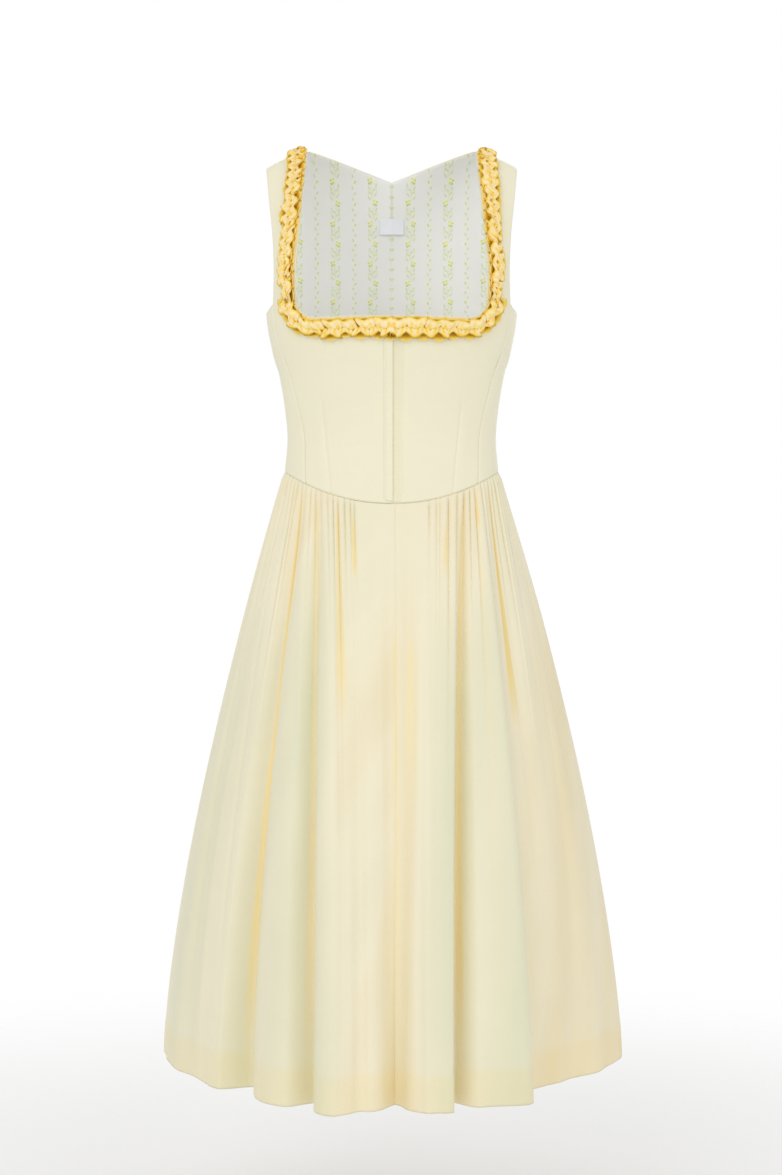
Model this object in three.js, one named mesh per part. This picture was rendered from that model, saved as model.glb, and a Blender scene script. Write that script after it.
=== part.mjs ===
// A sleeveless dirndl dress, filled out as it is worn: a fitted bodice with a wide square neckline edged with a
// pinched ruche, a lined back, and a gathered midi skirt with a flat front panel.
// Millimetres. +Z is up, the front faces -Y, and +X is the wearer's left. The origin lies between the two
// shoulder straps, level with the top of them, where the wearer's shoulders carry the dress.
import * as THREE from "three";

const { degToRad, radToDeg, lerp, clamp, smoothstep } = THREE.MathUtils;

// Driving sizes
const CLOTH = 1.5; // wall of the dress cloth
const LINING = 1.0; // wall of the back lining
const SEAM_GAP = 0.3; // between two pieces that are sewn together
const HEM_Z = -1145;
const WAIST_SIDE_Z = -404.6;
const WAIST_DIP_FRONT = 43; // how far the waist seam drops from the side to the centre front
const WAIST_DIP_BACK = 12; // and to the centre back
const NECK = { half: 92, corner: 25, base: -222 }; // straight run, corner radius and height of the front neckline
const UNDERARM_Z = -206;
const STRAP_BASE = { z: NECK.base + NECK.corner, neck: NECK.half + NECK.corner, arm: 147.5, camber: 2.3 };
const BACK_BASE = { z: -180, arm: 148, neck: 120 }; // where the back narrows to the two shoulders
const BACK_NECK = { y: 62, z: -23, bow: 1.4, turn: 1.8 }; // point of the back neckline, and how its edge curves

// How the upper back curves: how far each end of a column holds its course, as a share of the distance between
// them, the slope at the base, and the course over the shoulder and at the centre of the neckline
const BACK_CURVE = { hold: 0.4, base: 0.03, shoulder: [0, -1, 0.12], centre: [0, -0.45, 0.9] };

// The worn body of the bodice: half width, depth to the front and to the back, how square each half of the
// section is (2 is an ellipse), and the angle of the princess seam from the centre front.
const FORM = [
  { z: -470, wide: 139, front: 96, back: 94, square: 2.1, squareBack: 2.1, princess: 49 },
  { z: -405, wide: 135.6, front: 92, back: 88, square: 2.1, squareBack: 2.1, princess: 52 },
  { z: -362, wide: 132.1, front: 93, back: 86, square: 2.1, squareBack: 2.15, princess: 55 },
  { z: -325, wide: 135.2, front: 98, back: 88, square: 2.15, squareBack: 2.2, princess: 58.5 },
  { z: -286, wide: 141.6, front: 108, back: 93, square: 2.2, squareBack: 2.3, princess: 62.5 },
  { z: -248, wide: 151.8, front: 120, back: 99, square: 2.3, squareBack: 2.45, princess: 66 },
  { z: -222, wide: 156.9, front: 126, back: 103, square: 2.35, squareBack: 2.55, princess: 66.3 },
  { z: -197, wide: 159.5, front: 126, back: 105, square: 2.35, squareBack: 2.6, princess: 65.8 },
  { z: -180, wide: 161, front: 124, back: 105, square: 2.35, squareBack: 2.6, princess: 65.5 },
];

// The two edges of a front strap, from the bust to the shoulder seam. The last row lies behind the seam and
// only steers the curve over the shoulder.
const STRAP = [
  { neckX: 117, neckY: -96.3, neckZ: -197, armX: 147.5, armY: -58.8, armZ: -197 },
  { neckX: 117.7, neckY: -87, neckZ: -152, armX: 146.8, armY: -58, armZ: -154 },
  { neckX: 113.6, neckY: -73, neckZ: -106, armX: 148.9, armY: -50, armZ: -111 },
  { neckX: 110.3, neckY: -52, neckZ: -62, armX: 153.4, armY: -35, armZ: -70 },
  { neckX: 108, neckY: -22, neckZ: -22, armX: 157.6, armY: -13, armZ: -34 },
  { neckX: 107, neckY: 8, neckZ: 6, armX: 160, armY: 9, armZ: -16 },
  { neckX: 107, neckY: 38, neckZ: 2, armX: 160, armY: 39, armZ: -22 },
];
const STRAP_END = (STRAP.length - 2) / (STRAP.length - 1); // the shoulder seam on the strap's curves

// The folds of the skirt, once round from the wearer's right side seam over the front: the angle at the waist
// and at the hem, how far the cloth stands out from (or in from) the plain bell at the hem, how early the fold
// shows on its way down (a small rise shows early), and whether the cloth after it is gathered.
const FOLDS = [
  { waist: -90, hem: -88, out: -4, rise: 1, gathered: true },
  { waist: -72, hem: -62, out: -21, rise: 1, gathered: true },
  { waist: -61, hem: -49, out: -13, rise: 0.6, gathered: true },
  { waist: -54, hem: -43.5, out: -47, rise: 0.6, gathered: true },
  { waist: -47.5, hem: -25, out: 5, rise: 0.8, gathered: true },
  { waist: -41, hem: -19, out: -20, rise: 0.5, gathered: true },
  { waist: -35, hem: -12, out: 28, rise: 0.9, gathered: true },
  { waist: -18.5, hem: -6, out: 4, rise: 1, gathered: false },
  { waist: 1.5, hem: 0.8, out: -26, rise: 1.4, gathered: false },
  { waist: 18.5, hem: 8, out: 14, rise: 1, gathered: true },
  { waist: 32, hem: 13, out: 15, rise: 0.9, gathered: true },
  { waist: 38.5, hem: 16, out: -26, rise: 0.5, gathered: true },
  { waist: 45, hem: 20.5, out: 2, rise: 0.8, gathered: true },
  { waist: 51, hem: 31.5, out: 14, rise: 1, gathered: true },
  { waist: 60, hem: 43, out: -40, rise: 0.8, gathered: true },
  { waist: 72, hem: 57, out: -38, rise: 1.2, gathered: true },
  { waist: 82, hem: 73, out: -17, rise: 1, gathered: true },
  { waist: 90, hem: 92, out: 5, rise: 1, gathered: true },
  { waist: 97, hem: 101, out: 12, rise: 1, gathered: true },
  { waist: 106, hem: 112, out: -22, rise: 0.7, gathered: true },
  { waist: 115, hem: 122, out: 8, rise: 0.9, gathered: true },
  { waist: 122, hem: 130, out: -26, rise: 0.6, gathered: true },
  { waist: 133, hem: 140, out: 12, rise: 1, gathered: true },
  { waist: 140, hem: 148, out: -20, rise: 0.7, gathered: true },
  { waist: 150, hem: 157, out: 15, rise: 0.9, gathered: true },
  { waist: 159, hem: 165, out: -24, rise: 0.6, gathered: true },
  { waist: 169, hem: 173, out: 10, rise: 0.9, gathered: true },
  { waist: 180, hem: 181, out: -14, rise: 0.8, gathered: true },
  { waist: 190, hem: 188, out: 14, rise: 0.9, gathered: true },
  { waist: 199, hem: 196, out: -22, rise: 0.6, gathered: true },
  { waist: 209, hem: 204, out: 10, rise: 1, gathered: true },
  { waist: 217, hem: 211, out: -26, rise: 0.7, gathered: true },
  { waist: 228, hem: 221, out: 14, rise: 0.9, gathered: true },
  { waist: 236, hem: 230, out: -18, rise: 0.6, gathered: true },
  { waist: 246, hem: 240, out: 10, rise: 1, gathered: true },
  { waist: 255, hem: 250, out: -24, rise: 0.7, gathered: true },
  { waist: 263, hem: 260, out: 8, rise: 0.9, gathered: true },
  { waist: 270, hem: 272, out: -4, rise: 1, gathered: false },
];
const HEM = { wide: 288, front: 258, back: 252, flare: 1.5 }; // the plain bell at the hem, and how early it opens
const CENTRE_FRONT = 1.5; // waist angle of the skirt's front seam, a little to the wearer's left
const GATHER = { pitch: 4.5, columns: 4, depth: 2.6 }; // degrees of the waist, mesh columns and depth of a gather

// Rows of the skirt's wall: the share of the height above the hem, and the gathers' share of their depth
const SKIRT_ROWS = [
  { height: 1, gather: 0.35 },
  { height: 0.98, gather: 1 },
  { height: 0.935, gather: 0.95 },
  { height: 0.85, gather: 0.45 },
  { height: 0.72, gather: 0 },
  { height: 0.56, gather: 0 },
  { height: 0.39, gather: 0 },
  { height: 0.2, gather: 0 },
  { height: 0, gather: 0 },
];
const FINE_ROWS = 4; // rows that keep every column; the rows below keep every other one

// The ruche: a strip pinched into two staggered rows of petals, from the shoulder seam to the centre front
const RUCHE = {
  strap: 14, // petals along the strap
  corner: 3,
  base: 5, // petals along the neckline to the centre front
  steps: 4, // mesh rows for a petal
  across: [0, 0.14, 0.3, 0.5, 0.66, 0.83, 1], // mesh columns, as shares of the width
  margin: 2, // the neckline's own edge that shows inside the ruche
  wide: 24, // on the strap
  wideBase: 26.5, // along the neckline
  lift: 0.4, // underside above the strap or the bodice
  floor: 1.6, // top side there, between the petals
  rise: 6.5, // of a petal over that
  scallop: 2,
  endGap: 1.2, // short of the shoulder seam and of the centre front
};
const PETAL = {
  inner: { centre: 0.27, half: 0.3 }, // shares of the strip's width
  outer: { centre: 0.76, half: 0.32 },
  pinched: 0.35, // height left at a pinch, as a share of the petal's
  fuller: 1.3, // the outer petals along the neckline, against those on the strap
};

// The flap over the closure, and the label; a lift is the gap to the cloth that the piece lies on
const FLY = { from: -9.5, to: 1.2, top: -259, corner: 6, clear: 3, lift: 0.3, thick: 0.9 };
const LABEL = { half: 15.5, top: -65, bottom: -85, lift: 0.9, thick: 0.8 };

const SEAM_ROUNDS = 4; // of nearing the waist seam's height, each about thirty times closer

// Mesh steps
const BODICE_STEPS = [1, 0.89, 0.76, 0.6, 0.44, 0.28, 0.13, 0]; // shares of the way up from the waist seam
const NECK_STEPS = { run: 3, corner: 4, strap: 3 }; // columns along a front's top edge, from the centre out
const SIDE_STEPS = [0, 0.07, 0.25, 0.6, 1]; // shares of the way from the princess seam to the side seam
const UNDERARM_STEPS = [0, 0.4, 0.75, 0.93]; // shares of the way from the side seam to the back of the armhole
const SHOULDER_COLUMNS = 3;
const NECK_COLUMNS = 4;
const BACK_COLUMNS = SHOULDER_COLUMNS + NECK_COLUMNS;
const STRAP_ROWS = 8;
const UPPER_BACK_ROWS = 7;
const FLAT_COLUMNS = 4; // between two rows of FOLDS where the cloth isn't gathered
const LABEL_COLUMNS = 6;
const LABEL_TOLERANCE = 1e-6; // of the share of a column at which the label's heights are found
const FLY_CORNER_TURN = 30; // degrees from one row of the flap's round corner to the next

const COLOURS = { bodice: 0xeae5c9, skirt: 0xf0ead2, ruche: 0xf7d67f, lining: 0xe3e5de, label: 0xe9edf3 };

// A row between the rows of a table, each column on a smooth curve
function rowAt(table, key, at) {
  let i = 0;
  while (i < table.length - 2 && at > table[i + 1][key]) i += 1;
  const [a, b] = [table[i], table[i + 1]];
  const before = table[Math.max(i - 1, 0)];
  const after = table[Math.min(i + 2, table.length - 1)];
  const span = b[key] - a[key];
  const s = (at - a[key]) / span;
  const row = {};
  for (const column of Object.keys(a)) {
    const slopeA = ((b[column] - before[column]) / (b[key] - before[key])) * span;
    const slopeB = ((after[column] - a[column]) / (after[key] - a[key])) * span;
    row[column] =
      (2 * s ** 3 - 3 * s ** 2 + 1) * a[column] +
      (s ** 3 - 2 * s ** 2 + s) * slopeA +
      (3 * s ** 2 - 2 * s ** 3) * b[column] +
      (s ** 3 - s ** 2) * slopeB;
  }
  return row;
}

const signedPower = (value, power) => Math.sign(value) * Math.abs(value) ** power;

// A point of the worn body: angle in degrees from the centre front towards +X, at height z
function formPoint(angle, z) {
  const row = rowAt(FORM, "z", z);
  const t = degToRad(angle);
  const ahead = Math.cos(t) > 0;
  const power = 2 / (ahead ? row.square : row.squareBack);
  const depth = ahead ? row.front : row.back;
  return new THREE.Vector3(row.wide * signedPower(Math.sin(t), power), -depth * signedPower(Math.cos(t), power), z);
}

// The angle at which the body has half width x at height z, in front or behind
function angleAt(x, z, behind = false) {
  const row = rowAt(FORM, "z", z);
  const power = (behind ? row.squareBack : row.square) / 2;
  const angle = radToDeg(Math.asin(signedPower(clamp(x / row.wide, -1, 1), power)));
  return behind ? 180 - angle : angle;
}

// Height of the waist seam at an angle
function waistZ(angle) {
  const ahead = Math.cos(degToRad(angle));
  const dip = ahead > 0 ? WAIST_DIP_FRONT : WAIST_DIP_BACK;
  return WAIST_SIDE_Z - dip * ahead ** 2;
}

// A vertex of cloth on a surface(right, up): its point, and the normal that faces out
function vertex(surface, right, up, step = 0.01) {
  const across = surface(right + step, up).sub(surface(right - step, up));
  const rise = surface(right, up + step).sub(surface(right, up - step));
  return { point: surface(right, up), normal: across.cross(rise).normalize() };
}

// The triangles between two rows of vertices that both run to the right, whatever their counts
function band(upper, lower) {
  const faces = [];
  let i = 0;
  let j = 0;
  while (i < upper.length - 1 || j < lower.length - 1) {
    const nextUpper = (i + 1) / (upper.length - 1);
    const nextLower = (j + 1) / (lower.length - 1);
    if (j === lower.length - 1 || (i < upper.length - 1 && nextUpper <= nextLower)) {
      faces.push([upper[i], lower[j], upper[i + 1]]);
      i += 1;
    } else {
      faces.push([upper[i], lower[j], lower[j + 1]]);
      j += 1;
    }
  }
  return faces;
}

// The triangles of a stack of rows, from the top row down
function sheet(rows) {
  return rows.slice(1).flatMap((row, i) => band(rows[i], row));
}

// Draws one end of a row in by half a seam gap
function drawIn(end, next, gap = SEAM_GAP) {
  end.point.add(next.point.clone().sub(end.point).setLength(gap / 2));
}

// The same cloth on the other side of the centre plane
function mirrored(faces) {
  const twins = new Map();
  const twin = (original) => {
    if (!twins.has(original)) {
      const flip = new THREE.Vector3(-1, 1, 1);
      const point = original.point.clone().multiply(flip);
      twins.set(original, { ...original, point, normal: original.normal.clone().multiply(flip) });
    }
    return twins.get(original);
  };
  return faces.map(([a, b, c]) => [twin(a), twin(c), twin(b)]);
}

// A closed wall of cloth between two distances from a sheet, measured along its normals
function clothMesh(name, faces, from, to, colour) {
  const numbers = new Map();
  const vertices = [];
  const number = (item) => {
    if (!numbers.has(item)) {
      numbers.set(item, vertices.length);
      vertices.push(item);
    }
    return numbers.get(item);
  };
  const outside = faces.map((face) => face.map(number));
  const count = vertices.length;
  const free = new Map();
  for (const [a, b, c] of outside) {
    for (const [start, end] of [[a, b], [b, c], [c, a]]) {
      if (!free.delete(`${end} ${start}`)) free.set(`${start} ${end}`, [start, end]);
    }
  }
  const index = outside.flat();
  for (const [a, b, c] of outside) index.push(a + count, c + count, b + count);
  for (const [start, end] of free.values()) {
    index.push(end, start, start + count, end, start + count, end + count);
  }
  const positions = [to, from].flatMap((offset) =>
    vertices.flatMap((item) => {
      const raised = typeof offset === "function" ? offset(item) : offset;
      return item.point.clone().addScaledVector(item.normal, raised).toArray();
    }),
  );
  const geometry = new THREE.BufferGeometry();
  geometry.setAttribute("position", new THREE.Float32BufferAttribute(positions, 3));
  geometry.setIndex(index);
  geometry.computeVertexNormals();
  const material = new THREE.MeshStandardMaterial({ color: colour, roughness: 0.7, metalness: 0 });
  const mesh = new THREE.Mesh(geometry, material);
  mesh.name = name;
  return mesh;
}

// The left piece from its sheet, and the right piece as its mirror image
function pair(name, faces, from, to, colour) {
  return [
    clothMesh(`${name}_left`, faces, from, to, colour),
    clothMesh(`${name}_right`, mirrored(faces), from, to, colour),
  ];
}

// Bodice

// Height of the waist seam under a column of the bodice, whose angle changes with the height
function seamZ(surface, across) {
  let z = WAIST_SIDE_Z;
  for (let round = 0; round < SEAM_ROUNDS; round += 1) z = waistZ(surface.angle(across, z));
  return z;
}

// A row of the bodice: for each column a share of the way to the seam or an angle, and its top height
function bodiceRow(columns, surface, share) {
  return columns.map(({ across, top }) => {
    const low = seamZ(surface, across) + SEAM_GAP;
    return vertex((a, z) => formPoint(surface.angle(a, z), z), across, lerp(low, top, share));
  });
}

// The neckline of one front: the straight run, the round corner, then the strap's base, from the centre out
function frontColumns() {
  const points = [];
  for (let i = 0; i < NECK_STEPS.run; i += 1) points.push([(NECK.half * i) / NECK_STEPS.run, NECK.base]);
  for (let i = 0; i < NECK_STEPS.corner; i += 1) {
    const turn = degToRad((90 * i) / NECK_STEPS.corner);
    points.push([NECK.half + NECK.corner * Math.sin(turn), NECK.base + NECK.corner * (1 - Math.cos(turn))]);
  }
  for (let i = 0; i <= NECK_STEPS.strap; i += 1) {
    points.push([lerp(STRAP_BASE.neck, STRAP_BASE.arm, i / NECK_STEPS.strap), STRAP_BASE.z]);
  }
  return points.map(([x, z]) => ({ across: angleAt(x, z) / rowAt(FORM, "z", z).princess, top: z }));
}

const strapEdge = (x, y, z) =>
  new THREE.CatmullRomCurve3(STRAP.map((row) => new THREE.Vector3(row[x], row[y], row[z])), false, "catmullrom", 0.5);
const neckEdge = strapEdge("neckX", "neckY", "neckZ");
const armEdge = strapEdge("armX", "armY", "armZ");

// A point of the strap: across from the neck edge to the armhole, and up from the bust to the shoulder seam
function strapPoint(across, up) {
  const along = clamp(up, 0, 1) * STRAP_END;
  const neck = neckEdge.getPoint(along);
  const arm = armEdge.getPoint(along);
  const wide = arm.clone().sub(neck);
  const out = wide.clone().cross(neckEdge.getTangent(Math.max(along, 1e-3))).normalize();
  return neck.addScaledVector(wide, across).addScaledVector(out, STRAP_BASE.camber * 4 * across * (1 - across));
}

// Ends a row at the shoulder seam: its cloth lies level from front to back there, on both sides of the seam
function endAtShoulder(row, next) {
  const seam = STRAP[STRAP.length - 2];
  const slope = new THREE.Vector3(seam.armX - seam.neckX, 0, seam.armZ - seam.neckZ);
  const normal = slope.cross(new THREE.Vector3(0, 1, 0)).normalize();
  row.forEach((end, column) => {
    end.normal.copy(normal);
    drawIn(end, next[column]);
  });
}

function bodiceFront() {
  const columns = frontColumns();
  const surface = { angle: (across, z) => across * rowAt(FORM, "z", z).princess };
  const rows = BODICE_STEPS.map((share) => bodiceRow(columns, surface, share));
  for (const row of rows) {
    drawIn(row[0], row[1]);
    drawIn(row.at(-1), row.at(-2));
  }
  const base = rows[0].slice(-NECK_STEPS.strap - 1);
  const strap = [];
  for (let i = STRAP_ROWS; i > 0; i -= 1) {
    strap.push(base.map((_, column) => vertex(strapPoint, column / NECK_STEPS.strap, i / STRAP_ROWS)));
  }
  endAtShoulder(strap[0], strap[1]);
  return [...sheet([...strap, base]), ...sheet(rows)];
}

// The lower edge of an armhole: it leaves the underarm level and turns up into the strap or the shoulder
function armholeZ(angle, reach, end) {
  const share = clamp(Math.abs(angle - 90) / reach, 0, 1);
  return UNDERARM_Z + (end - UNDERARM_Z) * (1 - Math.sqrt(1 - share ** 2));
}

function bodiceSide() {
  const start = rowAt(FORM, "z", STRAP_BASE.z).princess;
  const columns = SIDE_STEPS.map((share) => ({
    across: share,
    top: armholeZ(lerp(start, 90, share), 90 - start, STRAP_BASE.z),
  }));
  const surface = { angle: (across, z) => lerp(rowAt(FORM, "z", z).princess, 90, across) };
  const rows = BODICE_STEPS.map((share) => bodiceRow(columns, surface, share));
  for (const row of rows) {
    drawIn(row[0], row[1]);
    drawIn(row.at(-1), row.at(-2));
  }
  return sheet(rows);
}

// Half width of the upper back's base at a column, counted from the armhole to the centre back
function backBaseX(column) {
  if (column <= SHOULDER_COLUMNS) return lerp(BACK_BASE.arm, BACK_BASE.neck, column / SHOULDER_COLUMNS);
  return BACK_BASE.neck * (1 - (column - SHOULDER_COLUMNS) / NECK_COLUMNS);
}

// A point of the upper back: each column runs up over the shoulder blade and leans in to the shoulder or neck edge
function backPoint(column, up) {
  const start = formPoint(angleAt(backBaseX(column), BACK_BASE.z, true), BACK_BASE.z);
  const shoulder = STRAP[STRAP.length - 2];
  const inner = new THREE.Vector3(shoulder.neckX, shoulder.neckY, shoulder.neckZ);
  const outer = new THREE.Vector3(shoulder.armX, shoulder.armY, shoulder.armZ);
  const share = (column - SHOULDER_COLUMNS) / NECK_COLUMNS;
  const round = Math.max(share, 0);
  const end =
    share <= 0
      ? outer.lerp(inner, column / SHOULDER_COLUMNS)
      : new THREE.Vector3(
          inner.x * (1 - share),
          lerp(inner.y, BACK_NECK.y, 1 - Math.max(1 - share, 0) ** BACK_NECK.turn),
          lerp(inner.z, BACK_NECK.z, share ** BACK_NECK.bow),
        );
  const over = new THREE.Vector3(...BACK_CURVE.shoulder);
  const arrive = over.lerp(new THREE.Vector3(...BACK_CURVE.centre), round).normalize();
  const reach = start.distanceTo(end) * BACK_CURVE.hold;
  const leave = start.clone().add(new THREE.Vector3(0, BACK_CURVE.base * reach, reach));
  const curve = new THREE.CubicBezierCurve3(start, leave, end.clone().addScaledVector(arrive, -reach), end);
  return curve.getPoint(clamp(up, 0, 1));
}

function bodiceBack() {
  const start = angleAt(BACK_BASE.arm, BACK_BASE.z, true);
  const columns = UNDERARM_STEPS.map((share) => {
    const angle = lerp(90, start, share);
    return { across: angle, top: armholeZ(angle, start - 90, BACK_BASE.z) };
  });
  for (let column = 0; column <= BACK_COLUMNS; column += 1) {
    columns.push({ across: angleAt(backBaseX(column), BACK_BASE.z, true), top: BACK_BASE.z });
  }
  const surface = { angle: (across) => across };
  const rows = BODICE_STEPS.map((share) => bodiceRow(columns, surface, share));
  const base = rows[0].slice(-BACK_COLUMNS - 1);
  const upper = [];
  for (let i = UPPER_BACK_ROWS; i > 0; i -= 1) {
    upper.push(base.map((_, column) => vertex(backPoint, column, i / UPPER_BACK_ROWS)));
  }
  for (const row of rows) drawIn(row[0], row[1]);
  for (const row of [...upper, ...rows]) drawIn(row.at(-1), row.at(-2));
  endAtShoulder(upper[0].slice(0, SHOULDER_COLUMNS + 1), upper[1]);
  return [...sheet([...upper, base]), ...sheet(rows)];
}

// The flap that covers the closure of the centre front, with its outer lower corner rounded
function fly() {
  const low = waistZ(0) + SEAM_GAP + FLY.clear;
  const heights = BODICE_STEPS.map((share) => lerp(waistZ(0) + SEAM_GAP, NECK.base, share));
  const inside = heights.filter((z) => z < FLY.top - 1 && z > low + FLY.corner);
  const rows = [FLY.top, ...inside].map((z) => ({ z, from: FLY.from }));
  for (let degrees = 0; degrees <= 90; degrees += FLY_CORNER_TURN) {
    const turn = degToRad(degrees);
    const from = FLY.from + FLY.corner * (1 - Math.cos(turn));
    rows.push({ z: low + FLY.corner * (1 - Math.sin(turn)), from });
  }
  const surface = (x, z) => formPoint(angleAt(x, z), z);
  return sheet(rows.map(({ z, from }) => [0, 0.5, 1].map((share) => vertex(surface, lerp(from, FLY.to, share), z))));
}

// The label on the back lining, below the neck, with its edges level
function label() {
  const columnWide = backBaseX(BACK_COLUMNS - 1) - backBaseX(BACK_COLUMNS);
  const surface = (right, z) => {
    const column = BACK_COLUMNS - Math.abs(right) / columnWide;
    let [low, high] = [0, 1];
    while (high - low > LABEL_TOLERANCE) {
      const middle = (low + high) / 2;
      if (backPoint(column, middle).z < z) low = middle;
      else high = middle;
    }
    const point = backPoint(column, low);
    return point.setX(-Math.sign(right) * point.x);
  };
  return sheet(
    [LABEL.top, (LABEL.top + LABEL.bottom) / 2, LABEL.bottom].map((z) =>
      Array.from({ length: LABEL_COLUMNS + 1 }, (_, i) =>
        vertex(surface, lerp(-LABEL.half, LABEL.half, i / LABEL_COLUMNS), z),
      ),
    ),
  );
}

// Ruche

// A point of the neckline's border: petals along from the shoulder seam, and millimetres out from the neck edge
function borderPoint(out, along) {
  if (along < RUCHE.strap) {
    const up = 1 - along / RUCHE.strap;
    return strapPoint(out / strapPoint(0, up).distanceTo(strapPoint(1, up)), up);
  }
  const turn = degToRad(90 * clamp((along - RUCHE.strap) / RUCHE.corner, 0, 1));
  const run = Math.max(along - RUCHE.strap - RUCHE.corner, 0) / RUCHE.base;
  const x = NECK.half * (1 - run) + (NECK.corner + out) * Math.cos(turn);
  const z = STRAP_BASE.z - (NECK.corner + out) * Math.sin(turn);
  return formPoint(angleAt(x, z), z);
}

// How high the petals stand: an inner and an outer row, half a petal apart, the outer one fuller along the base
function petalHeight(along, across) {
  const lobe = ({ centre, half }) => Math.max(0, 1 - ((across - centre) / half) ** 2);
  const full = lerp(1, PETAL.fuller, smoothstep(along, RUCHE.strap, RUCHE.strap + RUCHE.corner));
  const inner = lobe(PETAL.inner) * lerp(PETAL.pinched, 1, Math.abs(Math.sin(Math.PI * along)));
  const outer = lobe(PETAL.outer) * lerp(PETAL.pinched, 1, Math.abs(Math.cos(Math.PI * along))) * full;
  return RUCHE.floor + RUCHE.rise * (inner + outer);
}

function ruche() {
  const petals = RUCHE.strap + RUCHE.corner + RUCHE.base;
  const count = petals * RUCHE.steps;
  const rows = [];
  for (let i = 0; i <= count; i += 1) {
    const along = i / RUCHE.steps;
    const wide = lerp(RUCHE.wide, RUCHE.wideBase, smoothstep(along, RUCHE.strap, RUCHE.strap + RUCHE.corner));
    const scallop = RUCHE.scallop * Math.abs(Math.cos(Math.PI * along));
    const row = RUCHE.across.map((across) => {
      const out = RUCHE.margin + across * (wide + scallop);
      const item = vertex((right, up) => borderPoint(right, -up), out, -along);
      item.height = petalHeight(along, across);
      return item;
    });
    rows.push(row);
  }
  rows[0].forEach((end, column) => drawIn(end, rows[1][column], 2 * RUCHE.endGap));
  rows.at(-1).forEach((end, column) => drawIn(end, rows.at(-2)[column], RUCHE.endGap));
  return sheet(rows);
}

// Skirt

// A point of the skirt without its gathers: its place among the folds, counted in rows of FOLDS, and its height
function skirtPoint(place, height) {
  const i = clamp(Math.floor(place), 0, FOLDS.length - 2);
  const share = place - i;
  const [a, b] = [FOLDS[i], FOLDS[i + 1]];
  const angle = lerp(a.waist, b.waist, share);
  const seam = formPoint(angle, waistZ(angle));
  const turn = degToRad(lerp(a.hem, b.hem, share));
  const depth = Math.cos(turn) > 0 ? HEM.front : HEM.back;
  const hem = new THREE.Vector3(HEM.wide * Math.sin(turn), -depth * Math.cos(turn), HEM_Z);
  const outward = new THREE.Vector3(hem.x, hem.y, 0).normalize();
  const down = 1 - height;
  const opened = 1 - Math.max(height, 0) ** HEM.flare;
  const point = seam.clone().lerp(hem, opened).setZ(lerp(seam.z, HEM_Z, down));
  const ease = (1 - Math.cos(Math.PI * clamp(share, 0, 1))) / 2;
  const grown = (fold) => fold.out * Math.max(down, 0) ** fold.rise;
  return point.addScaledVector(outward, lerp(grown(a), grown(b), ease));
}

// One panel of the skirt, between two rows of FOLDS that stand at the given waist angles
function skirtPanel(fromAngle, toAngle) {
  const first = FOLDS.findIndex((fold) => fold.waist === fromAngle);
  const last = FOLDS.findIndex((fold) => fold.waist === toAngle);
  const columns = [];
  for (let i = first; i < last; i += 1) {
    const turn = FOLDS[i + 1].waist - FOLDS[i].waist;
    const wanted = FOLDS[i].gathered ? (turn / GATHER.pitch) * GATHER.columns : FLAT_COLUMNS;
    const count = 2 * Math.round(wanted / 2);
    for (let k = 0; k < count; k += 1) {
      columns.push({ place: i + k / count, gathered: FOLDS[i].gathered });
    }
  }
  columns.push({ place: last, gathered: false });
  const rows = SKIRT_ROWS.map(({ height, gather }, row) => {
    const kept = columns.filter((column, i) => row < FINE_ROWS || i % 2 === 0);
    return kept.map(({ place, gathered }) => {
      const item = vertex(skirtPoint, clamp(place, first + 1e-4, last - 1e-4), height, 1e-3);
      const phase = columns.findIndex((column) => column.place === place) * ((2 * Math.PI) / GATHER.columns);
      const depth = gathered ? GATHER.depth * gather : 0;
      item.point.addScaledVector(item.normal, depth * Math.cos(phase));
      if (height === 1) item.point.z -= SEAM_GAP;
      return item;
    });
  });
  for (const row of rows) {
    drawIn(row[0], row[1]);
    drawIn(row.at(-1), row.at(-2));
  }
  return sheet(rows);
}

const liningFrom = -(CLOTH + SEAM_GAP + LINING);
const back = bodiceBack();

const dress = new THREE.Group();
dress.add(
  ...pair("bodice_front", bodiceFront(), -CLOTH, 0, COLOURS.bodice),
  ...pair("bodice_side", bodiceSide(), -CLOTH, 0, COLOURS.bodice),
  ...pair("bodice_back", back, -CLOTH, 0, COLOURS.bodice),
  ...pair("lining_back", back, liningFrom, -(CLOTH + SEAM_GAP), COLOURS.lining),
  clothMesh("neck_label", label(), liningFrom - LABEL.lift - LABEL.thick, liningFrom - LABEL.lift, COLOURS.label),
  clothMesh("front_fly", fly(), FLY.lift, FLY.lift + FLY.thick, COLOURS.bodice),
  ...pair("ruche", ruche(), RUCHE.lift, (item) => item.height, COLOURS.ruche),
  clothMesh("skirt_front_right", skirtPanel(-90, CENTRE_FRONT), -CLOTH, 0, COLOURS.skirt),
  clothMesh("skirt_front_left", skirtPanel(CENTRE_FRONT, 90), -CLOTH, 0, COLOURS.skirt),
  clothMesh("skirt_back_left", skirtPanel(90, 180), -CLOTH, 0, COLOURS.skirt),
  clothMesh("skirt_back_right", skirtPanel(180, 270), -CLOTH, 0, COLOURS.skirt),
);

export default dress;
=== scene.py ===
"""A sleeveless dirndl dress of butter-yellow cloth, filled out as it is worn.

The dress is dressed over its packed construction model: a fitted bodice with princess seams and darts, a
covered closure at the centre front, a pinched ruche round a wide square neckline, a printed back lining and a
gathered midi skirt. Sizes are in millimetres and angles in degrees; meshes are placed in metres, in the
model's own frame: +Z up, the front facing -Y, the origin level with the top of the shoulder straps.
"""

import logging
import math
import random
from bisect import bisect_right
from collections.abc import Callable, Sequence
from dataclasses import dataclass, field, fields, replace
from enum import Enum
from functools import lru_cache
from typing import Any, TypeVar

import bmesh
import bpy
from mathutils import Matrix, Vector, noise


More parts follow.
